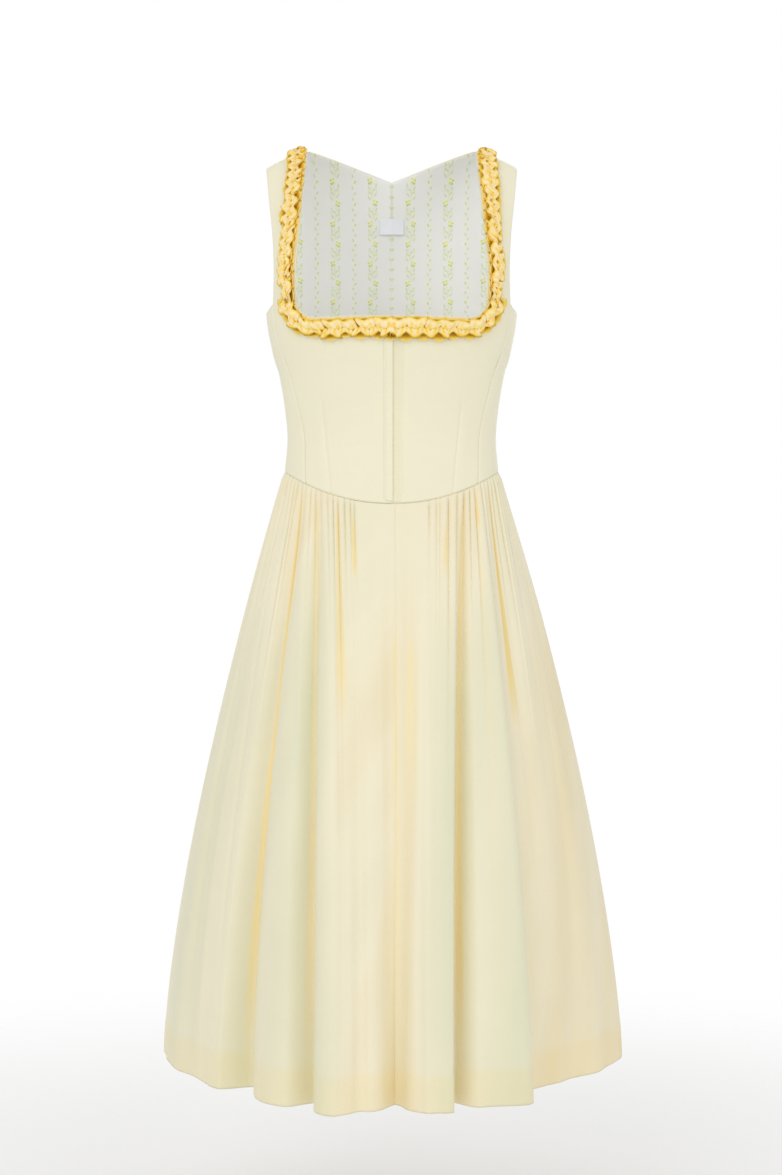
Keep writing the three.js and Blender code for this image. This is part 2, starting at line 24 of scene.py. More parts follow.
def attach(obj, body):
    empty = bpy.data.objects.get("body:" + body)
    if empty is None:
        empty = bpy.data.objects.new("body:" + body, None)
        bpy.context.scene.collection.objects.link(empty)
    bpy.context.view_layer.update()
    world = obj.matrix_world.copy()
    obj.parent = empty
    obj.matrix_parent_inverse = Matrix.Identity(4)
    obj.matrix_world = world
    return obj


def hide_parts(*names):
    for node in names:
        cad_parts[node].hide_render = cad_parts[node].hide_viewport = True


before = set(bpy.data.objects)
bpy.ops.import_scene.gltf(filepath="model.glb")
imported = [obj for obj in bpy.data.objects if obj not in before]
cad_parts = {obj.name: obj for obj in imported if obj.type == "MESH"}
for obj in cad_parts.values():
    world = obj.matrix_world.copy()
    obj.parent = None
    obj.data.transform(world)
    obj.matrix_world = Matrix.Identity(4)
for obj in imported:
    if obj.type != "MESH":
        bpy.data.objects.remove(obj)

LOG = logging.getLogger("dirndl")
MM = 0.001
ROOT = "root"

Row = TypeVar("Row")
Value = TypeVar("Value", float, Vector)
Surface = Callable[[float, float], Vector]
Relief = Callable[[bmesh.types.BMVert], float]


class Side(Enum):
    """The wearer's side that a piece belongs to."""

    LEFT = 1
    RIGHT = -1

    @property
    def word(self) -> str:
        """The side's name in a node or piece."""
        return self.name.lower()


def lerp(low: float, high: float, share: float) -> float:
    """A number the given share of the way from low to high."""
    return low + (high - low) * share


def clamp(value: float, low: float = 0.0, high: float = 1.0) -> float:
    """The value, held between low and high."""
    return min(max(value, low), high)


def smooth(value: float, low: float = 0.0, high: float = 1.0) -> float:
    """A soft step from 0 at low to 1 at high."""
    share = clamp((value - low) / (high - low))
    return share * share * (3 - 2 * share)


def bell(distance: float, width: float) -> float:
    """A soft bump, 1 at no distance and nearly nothing at twice the width."""
    return math.exp(-((distance / width) ** 2))


def signed_power(value: float, power: float) -> float:
    """The value's size raised to a power, with its own sign."""
    return math.copysign(abs(value) ** power, value)


def steps(count: int) -> list[float]:
    """Shares from 0 to 1 in equal steps."""
    return [i / count for i in range(count + 1)]


FINE_EDGE = (0.5, 1.1, 1.9, 3.0)  # distances of the fine mesh steps from an edge that rolls in at its seam


def edged_steps(width: float, pitch: float, edges: Sequence[float] = FINE_EDGE) -> list[float]:
    """Shares across a piece, finer beside both of its edges.

    Args:
        width: the piece's width, in millimetres.
        pitch: the widest step, in millimetres.
        edges: distances of the fine steps from each edge, in millimetres.

    Returns:
        The shares from 0 to 1.
    """
    inner = max(round((width - 2 * edges[-1]) / pitch), 1)
    low = [0.0, *[edge / width for edge in edges]]
    middle = [lerp(low[-1], 1 - low[-1], i / inner) for i in range(1, inner)]
    return low + middle + [1 - share for share in reversed(low)]


# The worn body


@dataclass(frozen=True)
class Section:
    """One level of the worn body.

    Attributes:
        z: its height.
        wide: its half width.
        front: its depth ahead of the middle.
        back: its depth behind the middle.
        square: how square its front half is; 2 is an ellipse.
        square_back: how square its back half is.
        princess: the angle of the princess seam from the centre front.
    """

    z: float
    wide: float
    front: float
    back: float
    square: float
    square_back: float
    princess: float


SECTIONS = (
    Section(-470, 139, 96, 94, 2.1, 2.1, 49),
    Section(-405, 135.6, 92, 88, 2.1, 2.1, 52),
    Section(-362, 132.1, 93, 86, 2.1, 2.15, 55),
    Section(-325, 135.2, 98, 88, 2.15, 2.2, 58.5),
    Section(-286, 141.6, 108, 93, 2.2, 2.3, 62.5),
    Section(-248, 151.8, 120, 99, 2.3, 2.45, 66),
    Section(-222, 156.9, 126, 103, 2.35, 2.55, 66.3),
    Section(-197, 159.5, 126, 105, 2.35, 2.6, 65.8),
    Section(-180, 161, 124, 105, 2.35, 2.6, 65.5),
)


def curve(low: Value, low_slope: Value, high: Value, high_slope: Value, s: float) -> Value:
    """A number or point on the smooth curve between two ends.

    Args:
        low: the value at the start.
        low_slope: its change over the whole stretch, as it stands at the start.
        high: the value at the end.
        high_slope: the same as it stands at the end.
        s: the share of the way, from 0 to 1.

    Returns:
        The value at that share.
    """
    return (
        (2 * s**3 - 3 * s**2 + 1) * low
        + (s**3 - 2 * s**2 + s) * low_slope
        + (3 * s**2 - 2 * s**3) * high
        + (s**3 - s**2) * high_slope
    )


def between(rows: Sequence[Row], key: str, at: float) -> Row:
    """A row between the rows of a table, each column on a smooth curve.

    Args:
        rows: the table, rising in its key column.
        key: the name of that column.
        at: its value in the wanted row.

    Returns:
        A row of the table's own kind.
    """
    i = 0
    while i < len(rows) - 2 and at > getattr(rows[i + 1], key):
        i += 1
    before, a, b, after = rows[max(i - 1, 0)], rows[i], rows[i + 1], rows[min(i + 2, len(rows) - 1)]
    span = getattr(b, key) - getattr(a, key)
    s = (at - getattr(a, key)) / span
    values = {}
    for column in fields(a):
        name = column.name
        low, high = getattr(a, name), getattr(b, name)
        slope_low = (high - getattr(before, name)) / (getattr(b, key) - getattr(before, key)) * span
        slope_high = (getattr(after, name) - low) / (getattr(after, key) - getattr(a, key)) * span
        values[name] = curve(low, slope_low, high, slope_high, s)
    return type(a)(**values)


@lru_cache(maxsize=20000)
def section(z: float) -> Section:
    """The worn body's section at height z."""
    return between(SECTIONS, "z", z)


@dataclass(frozen=True)
class Form:
    """The worn body of the bodice, and the waist seam on it.

    Attributes:
        waist_side: height of the waist seam at the side seams.
        dip_front: how far it dips from there to the centre front.
        dip_back: how far it dips to the centre back.
    """

    waist_side: float = -404.6
    dip_front: float = 43
    dip_back: float = 12

    def point(self, angle: float, z: float) -> Vector:
        """A point of the body.

        Args:
            angle: from the centre front towards +X.
            z: its height.

        Returns:
            The point, in millimetres.
        """
        row = section(round(z, 3))
        turn = math.radians(angle)
        ahead = math.cos(turn) > 0
        power = 2 / (row.square if ahead else row.square_back)
        depth = row.front if ahead else row.back
        x = row.wide * signed_power(math.sin(turn), power)
        y = -depth * signed_power(math.cos(turn), power)
        return Vector((x, y, z))

    def angle_at(self, x: float, z: float, behind: bool = False) -> float:
        """The angle of a place on the body.

        Args:
            x: its distance from the middle plane.
            z: its height.
            behind: whether it is on the back half.

        Returns:
            The angle from the centre front.
        """
        row = section(round(z, 3))
        power = (row.square_back if behind else row.square) / 2
        angle = math.degrees(math.asin(signed_power(clamp(x / row.wide, -1, 1), power)))
        return 180 - angle if behind else angle

    def princess(self, z: float) -> float:
        """The angle of the princess seam at height z."""
        return section(round(z, 3)).princess

    def waist_z(self, angle: float) -> float:
        """The height of the waist seam.

        Args:
            angle: from the centre front.

        Returns:
            The height, lowest at the centre front.
        """
        ahead = math.cos(math.radians(angle))
        dip = self.dip_front if ahead > 0 else self.dip_back
        return self.waist_side - dip * ahead**2


FORM = Form()
SEAM_GAP = 0.3  # from a panel's edge to the seam line that it shares with the next
MIDDLE = 0.001  # within this distance an edge lies on the dress's middle plane
UNDERLAP = 1.5  # how deep a seam allowance lies under the next panel
CLOTH = 1.0  # thickness of the dress cloth with its seam allowances pressed flat
LINING_DEPTH = 1.8  # from the outside of the back to the outside of its lining
LINING = 0.8  # thickness of the lining
NECK_HALF = 92.0  # straight run of the front neckline, each side of the centre
NECK_CORNER = 25.0  # radius of its corners
NECK_BASE = -222.0
STRAP_Z = NECK_BASE + NECK_CORNER
STRAP_NECK = NECK_HALF + NECK_CORNER
STRAP_ARM = 147.5
STRAP_CAMBER = 2.3  # how far a strap's middle stands out from its edges
UNDERARM_Z = -206.0
BACK_Z = -180.0
BACK_ARM = 148.0
BACK_NECK_HALF = 120.0
NECK_COLUMN = 3  # the upper back's columns run from the armhole, 0, past the neck's corner to the centre back
CENTRE_COLUMN = 7
UPPER = 2.0  # added to the upward measure of a panel's upper grid, to tell it from the lower one


@dataclass(frozen=True)
class StrapRow:
    """The two edges of a front strap at one level; the last row lies behind the shoulder seam."""

    neck: tuple[float, float, float]
    arm: tuple[float, float, float]


STRAP = (
    StrapRow((117, -96.3, -197), (147.5, -58.8, -197)),
    StrapRow((117.7, -87, -152), (146.8, -58, -154)),
    StrapRow((113.6, -73, -106), (148.9, -50, -111)),
    StrapRow((110.3, -52, -62), (153.4, -35, -70)),
    StrapRow((108, -22, -22), (157.6, -13, -34)),
    StrapRow((107, 8, 6), (160, 9, -16)),
    StrapRow((107, 38, 2), (160, 39, -22)),
)
SHOULDER = STRAP[-2]
STRAP_END = (len(STRAP) - 2) / (len(STRAP) - 1)


def along_points(points: Sequence[Vector], share: float) -> Vector:
    """A point on the smooth curve through some points.

    Args:
        points: the points, two or more.
        share: the share of the curve, counted in points, from 0 to 1.

    Returns:
        The point at that share.
    """
    at = clamp(share) * (len(points) - 1)
    i = min(int(at), len(points) - 2)
    a, b = points[i], points[i + 1]
    before = points[i - 1] if i > 0 else 2 * a - b
    after = points[i + 2] if i + 2 < len(points) else 2 * b - a
    return curve(a, (b - before) / 2, b, (after - a) / 2, at - i)


NECK_EDGE = tuple(Vector(row.neck) for row in STRAP)
ARM_EDGE = tuple(Vector(row.arm) for row in STRAP)


def strap_point(across: float, up: float) -> Vector:
    """A point of the left strap.

    Args:
        across: from 0 at the neck edge to 1 at the armhole.
        up: from 0 at the bust to 1 at the shoulder seam.

    Returns:
        The point on its outer face, in millimetres.
    """
    share = clamp(up) * STRAP_END
    neck = along_points(NECK_EDGE, share)
    arm = along_points(ARM_EDGE, share)
    wide = arm - neck
    course = along_points(NECK_EDGE, share + 1e-3) - along_points(NECK_EDGE, max(share - 1e-3, 0))
    out = wide.cross(course).normalized()
    return neck + wide * across + out * (STRAP_CAMBER * 4 * across * (1 - across))


# Materials


def linear(code: str) -> tuple[float, float, float, float]:
    """Turns an sRGB hex value into a linear colour.

    Args:
        code: the value, such as "#f0ead2".

    Returns:
        Its red, green and blue, and an alpha of 1.
    """
    parts = [int(code[i : i + 2], 16) / 255 for i in (1, 3, 5)]
    bent = [p / 12.92 if p <= 0.04045 else ((p + 0.055) / 1.055) ** 2.4 for p in parts]
    return (bent[0], bent[1], bent[2], 1.0)


def blank_tree(owner: bpy.types.Material | bpy.types.World) -> bpy.types.NodeTree:
    """Gives a material or a world an empty node tree.

    Args:
        owner: the material or world.

    Returns:
        The tree.
    """
    owner.use_nodes = True
    owner.node_tree.nodes.clear()
    return owner.node_tree


def add(tree: Any, kind: str, sets: dict | None = None, links: dict | None = None) -> Any:
    """Adds a node to a tree.

    Args:
        tree: the node tree.
        kind: the node's type without "ShaderNode".
        sets: properties of the node by name, and values of its inputs by name or number.
        links: the sockets that feed its inputs, by name or number.

    Returns:
        The node.
    """
    made = tree.nodes.new("ShaderNode" + kind)
    for key, value in (sets or {}).items():
        if isinstance(key, str) and hasattr(made, key):
            setattr(made, key, value)
        else:
            made.inputs[key].default_value = value
    for key, source in (links or {}).items():
        tree.links.new(source, made.inputs[key])
    return made


MIX_A, MIX_B, MIX_OUT = 6, 7, 2  # colour sockets of the Mix node


@dataclass(frozen=True)
class Weave:
    """Plain woven cloth with a soft nap: what the dress, its ruche and its lining have in common.

    Attributes:
        name: the cloth's plain name.
        face: the colour of the cloth in full light.
        deep: the painted colour that stands for light thrown from wall to wall in a fold.
        pocket: the painted shade at the very bottom of such a fold.
        roughness: of the surface.
        sheen: the strength of the nap's soft edge light.
        slub: how much the thicker threads lighten and darken the cloth.
        thread: thread spacing in millimetres, drawn about three times as coarse as it is, so that it shows.
    """

    name: str
    face: str
    deep: str
    pocket: str
    roughness: float = 0.55
    sheen: float = 0.15
    slub: float = 0.03
    thread: float = 0.7

    def make(self) -> bpy.types.Material:
        """Makes the cloth's material.

        Returns:
            The material.
        """
        material = bpy.data.materials.new(self.name)
        tree = blank_tree(material)
        flat = add(tree, "UVMap", {"uv_map": "cloth"}).outputs[0]
        colour = self.print_on(tree, flat, self.colour(tree, flat))
        surface = {
            "Roughness": self.roughness,
            "IOR": 1.5,
            "Specular IOR Level": 0.3,
            "Sheen Weight": self.sheen,
            "Sheen Roughness": 0.4,
        }
        links = {"Base Color": colour, "Normal": self.threads(tree, flat)}
        shader = add(tree, "BsdfPrincipled", surface, links)
        add(tree, "OutputMaterial", links={"Surface": shader.outputs[0]})
        return material

    def colour(self, tree: Any, flat: Any) -> Any:
        """The cloth's colour: its painted fold light and shade, and its slubs.

        Args:
            tree: the node tree.
            flat: the socket of the cloth's flat place, in metres.

        Returns:
            The socket of the colour.
        """
        # painted light and shade: the attribute mixes the face colour towards the deep colour, for light
        # thrown between fold walls, and the pocket colour, for shade
        painted_shade_and_hem_tint = add(tree, "Attribute", {"attribute_name": "painted_shade_and_hem_tint"}).outputs["Fac"]
        ramp = add(tree, "ValToRGB", links={"Fac": painted_shade_and_hem_tint})
        stops = ramp.color_ramp.elements
        stops[0].color = linear(self.face)
        stops[1].color = linear(self.pocket)
        stops.new(0.5).color = linear(self.deep)
        slubs = add(tree, "Mapping", {"Scale": (90, 900, 1)}, {"Vector": flat})
        grain = {"Scale": 1.0, "Detail": 3.0, "Roughness": 0.6}
        streak = add(tree, "TexNoise", grain, {"Vector": slubs.outputs[0]})
        patches = add(tree, "TexNoise", {"Scale": 14.0, "Detail": 2.0}, {"Vector": flat})
        both = add(tree, "Math", {"operation": "ADD"}, {0: streak.outputs["Fac"], 1: patches.outputs["Fac"]})
        shades = {"From Min": 0.6, "From Max": 1.4, "To Min": 1 - self.slub, "To Max": 1 + self.slub}
        shift = add(tree, "MapRange", shades, {"Value": both.outputs[0]})
        tone = add(tree, "HueSaturation", links={"Value": shift.outputs[0], "Color": ramp.outputs[0]})
        return tone.outputs[0]

    def print_on(self, tree: Any, flat: Any, colour: Any) -> Any:
        """The colour with the cloth's print on it; plain cloth has none."""
        return colour

    def threads(self, tree: Any, flat: Any) -> Any:
        """The weave as a fine bump.

        Args:
            tree: the node tree.
            flat: the socket of the cloth's flat place, in metres.

        Returns:
            The socket of the bumped normal.
        """
        scale = 2 * math.pi / (self.thread * MM) / 20  # a Wave texture has 20 / 2 pi bands a unit
        yarns = []
        for bands, wander in (("X", 1.0), ("Y", 1.5)):
            wave = {"Scale": scale, "Distortion": wander, "Detail": 1.0, "bands_direction": bands}
            yarns.append(add(tree, "TexWave", wave, {"Vector": flat}).outputs["Fac"])
        cross = add(tree, "Math", {"operation": "ADD"}, {0: yarns[0], 1: yarns[1]})
        bump = add(tree, "Bump", {"Strength": 0.12, "Distance": 0.0002}, {"Height": cross.outputs[0]})
        return bump.outputs[0]


@dataclass(frozen=True)
class ShotCloth(Weave):
    """Cloth that turns from a cooler to a warmer shade, by its tone and a little unevenly.

    Attributes:
        cool: what the colour is multiplied by at a tone of -1.
        warm: what it is multiplied by at a tone of 1.
        across: width of an uneven patch, in millimetres.
        along: length of an uneven patch, in millimetres.
        uneven: how much the patches add to the tone.
    """

    cool: str = "#f0f6f2"
    warm: str = "#f9f1de"
    across: float = 90.0
    along: float = 900.0
    uneven: float = 0.5

    def print_on(self, tree: Any, flat: Any, colour: Any) -> Any:
        """The colour with its cooler and warmer patches.

        Args:
            tree: the node tree.
            flat: the socket of the cloth's flat place, in metres.
            colour: the socket of the even colour.

        Returns:
            The socket of the shot colour.
        """
        size = (1 / (self.across * MM), 1 / (self.along * MM), 1)
        patches = add(tree, "Mapping", {"Scale": size}, {"Vector": flat})
        grain = {"Scale": 1.0, "Detail": 1.5, "Roughness": 0.4}
        patch = add(tree, "TexNoise", grain, {"Vector": patches.outputs[0]})
        swing = {"From Min": 0.3, "From Max": 0.7, "To Min": -self.uneven, "To Max": self.uneven}
        shift = add(tree, "MapRange", swing, {"Value": patch.outputs["Fac"]})
        tone = add(tree, "Attribute", {"attribute_name": "tone"}).outputs["Fac"]
        whole = add(tree, "Math", {"operation": "ADD"}, {0: tone, 1: shift.outputs[0]})
        for tint, end in ((self.cool, -1.0), (self.warm, 1.0)):
            reach = {"From Min": 0.0, "From Max": end, "To Min": 0.0, "To Max": 1.0}
            share = add(tree, "MapRange", reach, {"Value": whole.outputs[0]})
            tinting = {"data_type": "RGBA", "blend_type": "MULTIPLY", MIX_B: linear(tint)}
            mixed = add(tree, "Mix", tinting, {0: share.outputs[0], MIX_A: colour})
            colour = mixed.outputs[MIX_OUT]
        return colour


@dataclass(frozen=True)
class Mark:
    """One ellipse of the lining's print.

    Attributes:
        x: its place across the repeat, from the middle of its stripe.
        y: its place up the repeat.
        half_long: half its length.
        half_wide: half its width.
        turn: the angle of its length from across.
        ink: its colour.
    """

    x: float
    y: float
    half_long: float
    half_wide: float
    turn: float
    ink: str


LEAF = "#dfe8ac"
STEM = "#e8eecb"
LIME = "#dfea3a"
YELLOW = "#f4ef50"
GREY_GREEN = "#c9cf8c"


def broad_stripe() -> list[Mark]:
    """The marks of one repeat of the broad flower stripe: two sprigs of leaves and two three-dot flowers.

    Returns:
        The marks, flowers before leaves and stems.
    """
    flower = [(0, 0, LIME), (3.6, 1.6, YELLOW), (1.2, -3.6, GREY_GREEN), (3.9, -2.4, LIME)]
    leaves = [(4.5, 5, 55), (-3.5, 8.5, 130), (2.8, 11, 35)]
    leaves += [(-1.5, 14.5, 150), (4.8, 16.5, 70), (-4.6, 19.5, 100)]
    stems = [(0.8, 7, 75), (-0.6, 12.5, 105), (1.6, 18, 80), (5.6, 10.5, 95), (-5.2, 14, 85)]
    marks = []
    for y, hand in ((6.0, 1), (31.5, -1)):
        marks += [Mark(hand * (dx - 5.5), y + dy, 1.75, 1.45, 20, ink) for dx, dy, ink in flower]
        marks += [Mark(hand * dx, y + dy, 2.9, 1.2, hand * turn, LEAF) for dx, dy, turn in leaves]
        marks += [Mark(hand * dx, y + dy, 3.6, 0.7, hand * turn, STEM) for dx, dy, turn in stems]
    return marks


def thin_stripe() -> list[Mark]:
    """The marks of one repeat of the thin leaf line: small leaves to the left and right by turns.

    Returns:
        The marks, every fourth of them brighter.
    """
    marks = []
    for i in range(8):
        x, turn = (1.5, 60) if i % 2 else (-1.5, 120)
        marks.append(Mark(x, 4 + 12.75 * i / 2, 2.2, 1.15, turn, LEAF if i % 4 else LIME))
    return marks


@dataclass(frozen=True)
class PrintedLining(Weave):
    """Fine cotton printed with broad flower stripes and thin leaf lines between them: dull, cool and light.

    Attributes:
        pitch: from one broad stripe to the next, in millimetres.
        repeat: length of the print's repeat, in millimetres.
    """

    pitch: float = 49.5
    repeat: float = 51.0

    def print_on(self, tree: Any, flat: Any, colour: Any) -> Any:
        """The colour with both stripes of the print on it.

        Args:
            tree: the node tree.
            flat: the socket of the cloth's flat place, in metres from the centre back.
            colour: the socket of the plain colour.

        Returns:
            The socket of the printed colour.
        """
        middle = self.pitch / 2
        for offset, marks in ((middle, broad_stripe()), (0.0, thin_stripe())):
            shift = {"operation": "SUBTRACT", 1: ((offset - middle) * MM, 0, 0)}
            moved = add(tree, "VectorMath", shift, {0: flat})
            repeat = {"operation": "WRAP", 1: (self.pitch * MM, self.repeat * MM, 1), 2: (0, 0, 0)}
            wrapped = add(tree, "VectorMath", repeat, {0: moved.outputs[0]})
            for mark in marks:
                ellipse = {
                    "vector_type": "TEXTURE",
                    "Location": ((middle + mark.x) * MM, mark.y * MM, 0),
                    "Rotation": (0, 0, math.radians(mark.turn)),
                    "Scale": (mark.half_long * MM, mark.half_wide * MM, 1),
                }
                place = add(tree, "Mapping", ellipse, {"Vector": wrapped.outputs[0]})
                level = {"operation": "MULTIPLY", 1: (1, 1, 0)}
                plane = add(tree, "VectorMath", level, {0: place.outputs[0]})
                reach = add(tree, "VectorMath", {"operation": "LENGTH"}, {0: plane.outputs[0]})
                soft = {"From Min": 1.25, "From Max": 0.75, "To Min": 0.0, "To Max": 0.85}
                inside = add(tree, "MapRange", soft, {"Value": reach.outputs["Value"]})
                inked = {"data_type": "RGBA", MIX_B: linear(mark.ink)}
                colour = add(tree, "Mix", inked, {0: inside.outputs[0], MIX_A: colour}).outputs[MIX_OUT]
        return colour


class Cloths:
    """The finishes of the dress, each made once."""

    def __init__(self) -> None:
        """Makes the materials: for each its face colour, its painted deep and pocket-shade colours,
        roughness, sheen and slub.
        """
        # Silk-cotton satin of the bodice: close and smooth, with a faint slub across and a soft nap
        self.bodice = Weave("silk_cotton_satin", "#f4efd3", "#e6d9a6", "#d8bd6c", 0.5, 0.12, 0.02).make()
        # The same satin in the skirt: painted gold where its folds would throw light between them, shot cool
        # and warm
        skirt = ShotCloth("silk_cotton_satin_skirt", "#f5edd1", "#fae3a4", "#f0c454", 0.5, 0.12, 0.02)
        self.skirt = skirt.make()
        # Ruche strip of yellow silk taffeta: cream on its puffs, painted yellow on its rims, painted deep
        # gold shade in its pockets
        ruche = ShotCloth("silk_taffeta_strip", "#fff0c6", "#ffda4e", "#b48a00", 0.5, 0.1, 0.04)
        self.ruche = replace(ruche, cool="#fff4f0", warm="#ffec98", across=7.0, along=7.0, uneven=1.0).make()
        # Painted shade: a darker, deeper gold copy of the taffeta for the petals' inner faces, which lie in
        # shade
        inside = Weave("silk_taffeta_inside", "#ffe070", "#f2c433", "#b98510", 0.6, 0.0, 0.05)
        self.ruche_inside = inside.make()
        # Printed cotton lawn of the lining: matt and cool beside the silk
        lining = PrintedLining("printed_cotton_lawn", "#f6f6f3", "#e6e7e2", "#d2d4cc", 0.8, 0.05, 0.015)
        self.lining = lining.make()
        # Woven taffeta label: smooth, cool white, slightly shiny
        self.label = Weave("taffeta_label", "#f4f6fc", "#d7dce6", "#c3c9d6", 0.45, 0.0, 0.01).make()
        # Polyester sewing thread: close to the satin, with no slub
        self.thread = Weave("sewing_thread", "#e9e4c6", "#d9cf9f", "#c0b078", 0.45, 0.0, 0.0).make()


# Cloth pieces


def link(name: str, data: Any) -> bpy.types.Object:
    """Puts an object with the given data at the origin of the scene.

    Args:
        name: the object's name.
        data: its mesh, camera or light.

    Returns:
        The object.
    """
    made = bpy.data.objects.new(name, data)
    bpy.context.scene.collection.objects.link(made)
    return made


def smooth_piece(
    mesh: bmesh.types.BMesh, name: str, materials: Sequence[bpy.types.Material]
) -> bpy.types.Object:
    """Makes a mesh a smooth-shaded object that rides on the dress, and frees the mesh.

    Args:
        mesh: the mesh in the making.
        name: the piece's name.
        materials: its materials, in the order of its slots.

    Returns:
        The object.
    """
    for face in mesh.faces:
        face.smooth = True
    data = bpy.data.meshes.new(name)
    mesh.to_mesh(data)
    mesh.free()
    for material in materials:
        data.materials.append(material)
    piece = link(name, data)
    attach(piece, ROOT)
    LOG.info("%s: %d faces, %.4f m2", name, len(data.polygons), sum(face.area for face in data.polygons))
    return piece


class Cloth:
    """A piece of cloth in the making: a mesh that grows from grids and takes its relief along its normals."""

    def __init__(self, name: str) -> None:
        """Starts an empty piece.

        Args:
            name: the piece's name.
        """
        self.name = name
        self.mesh = bmesh.new()
        self.uv = self.mesh.loops.layers.uv.new("cloth")
        # painted shade and light of folds and pockets, and a slight even tint on the skirt's hem
        self.painted_shade_and_hem_tint = self.mesh.verts.layers.float.new("painted_shade_and_hem_tint")
        self.tone = self.mesh.verts.layers.float.new("tone")
        self.across = self.mesh.verts.layers.float.new("across")
        self.up = self.mesh.verts.layers.float.new("up")

    def lay(
        self,
        across: Sequence[float],
        up: Sequence[float],
        surface: Surface,
        start: tuple[float, float] = (0.0, 0.0),
        mark: Callable[[float, float], tuple[float, float]] | None = None,
    ) -> list[bmesh.types.BMVert]:
        """Lays a grid of cloth on a surface.

        Args:
            across: the surface's first parameter at each column, from left to right seen from outside.
            up: its second parameter at each row, from the bottom up.
            surface: gives a point in millimetres.
            start: the flat place of the lower left corner, in millimetres.
            mark: gives the two numbers that each vertex keeps for its relief, in place of the parameters.

        Returns:
            The grid's vertices.
        """
        wide, high = len(across) - 1, len(up) - 1
        made = bmesh.ops.create_grid(self.mesh, x_segments=wide, y_segments=high, size=0.5)["verts"]
        spots = {}
        for vert in made:
            i = round((vert.co.x + 0.5) * wide)
            j = round((vert.co.y + 0.5) * high)
            vert.co = surface(across[i], up[j]) * MM
            vert[self.across], vert[self.up] = mark(across[i], up[j]) if mark else (across[i], up[j])
            spots[i, j] = vert
        flat = {}
        for j in range(high + 1):
            run = start[0] * MM
            for i in range(wide + 1):
                if i:
                    step = spots[i, j].co - spots[i - 1, j].co
                    rise = spots[i, min(j + 1, high)].co - spots[i, min(j + 1, high) - 1].co
                    run += (step - step.project(rise) if rise.length else step).length
                flat[spots[i, j]] = [run, 0.0]
        for i in range(wide + 1):
            rise = start[1] * MM
            for j in range(high + 1):
                if j:
                    rise += (spots[i, j].co - spots[i, j - 1].co).length
                flat[spots[i, j]][1] = rise
        for vert in made:
            for loop in vert.link_loops:
                loop[self.uv].uv = flat[vert]
        return made

    def weld(self, reach: float = 0.02) -> None:
        """Joins vertices of neighbouring grids that lie within reach, in millimetres."""
        bmesh.ops.remove_doubles(self.mesh, verts=self.mesh.verts[:], dist=reach * MM)

    def soften(self, verts: Sequence[bmesh.types.BMVert], rounds: int) -> None:
        """Smooths some vertices and leaves the edges of the cloth where they are.

        Args:
            verts: the vertices.
            rounds: how many times each is drawn towards its neighbours.
        """
        inner = [vert for vert in verts if vert.is_valid and not vert.is_boundary]
        axes = {"use_axis_x": True, "use_axis_y": True, "use_axis_z": True}
        for _ in range(rounds):
            bmesh.ops.smooth_vert(self.mesh, verts=inner, factor=0.5, **axes)

    def press(self, relief: Relief) -> None:
        """Moves each vertex along its normal, and keeps the edges on the middle plane there.

        Args:
            relief: gives the way out at a vertex, in millimetres.
        """
        self.mesh.normal_update()
        moves = [(vert, vert.normal.copy(), relief(vert)) for vert in self.mesh.verts]
        for vert, normal, depth in moves:
            if abs(vert.co.x) < MIDDLE * MM:
                normal.x = 0
            vert.co += normal * (depth * MM)

    def turn_over(self, side: Side) -> None:
        """Mirrors a left piece if it is for the right side.

        Args:
            side: the side that the piece is for.
        """
        if side is Side.RIGHT:
            bmesh.ops.scale(self.mesh, vec=(-1, 1, 1), verts=self.mesh.verts[:])
            bmesh.ops.reverse_faces(self.mesh, faces=self.mesh.faces[:])

    def area(self) -> float:
        """The cloth's area, in square metres."""
        return sum(face.calc_area() for face in self.mesh.faces)

    def finish(
        self, materials: Sequence[bpy.types.Material], thickness: float, node: str
    ) -> bpy.types.Object:
        """Makes the piece a walled object that stands for its construction node.

        Args:
            materials: the outside's, and where it differs the inside's.
            thickness: the wall, measured inwards in millimetres.
            node: the construction node that the piece stands for.

        Returns:
            The object.
        """
        piece = smooth_piece(self.mesh, self.name, materials)
        wall = piece.modifiers.new("wall", "SOLIDIFY")
        wall.thickness = thickness * MM
        wall.offset = -1
        wall.use_even_offset = False
        wall.material_offset = len(materials) - 1
        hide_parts(node)
        return piece


@dataclass(frozen=True)
class Crease:
    """A soft trough or ridge in cloth, between two places in millimetres.

    Attributes:
        start: one end, in the piece's own two measures.
        end: the other end.
        width: half width of the trough.
        depth: how far it goes in, or out where it is negative.
        open_end: whether it keeps its depth at the far end, as at a seam.
    """

    start: tuple[float, float]
    end: tuple[float, float]
    width: float
    depth: float
    open_end: bool = False

    def at(self, x: float, z: float) -> float:
        """The relief of the crease at a place.

        Args:
            x: the place in the piece's first measure.
            z: the place in its second.

        Returns:
            The way out, in millimetres; a trough's is negative.
        """
        run = Vector((self.end[0] - self.start[0], self.end[1] - self.start[1]))
        place = Vector((x - self.start[0], z - self.start[1]))
        share = clamp(place.dot(run) / run.length_squared)
        distance = (place - run * share).length
        fade = smooth(share, 0, 0.25) * (1 if self.open_end else smooth(1 - share, 0, 0.25))
        return -self.depth * bell(distance, self.width) * fade


def roll(distance: float, depth: float = 0.8, width: float = 1.6) -> float:
    """How far the cloth rolls in beside a sewn seam, at a distance from it in millimetres."""
    return -depth * bell(distance, width)


def ripple(spot: Vector, scale: float, stretch: tuple[float, float, float], seed: float) -> float:
    """A soft unevenness of the cloth.

    Args:
        spot: the place, in millimetres.
        scale: the size of a wave, in millimetres.
        stretch: how much faster it changes along each axis.
        seed: a number of its own for each piece.

    Returns:
        The height, from -1 to 1.
    """
    place = Vector((spot.x * stretch[0], spot.y * stretch[1], spot.z * stretch[2]))
    return noise.noise(place / scale + Vector((seed, seed, seed)))


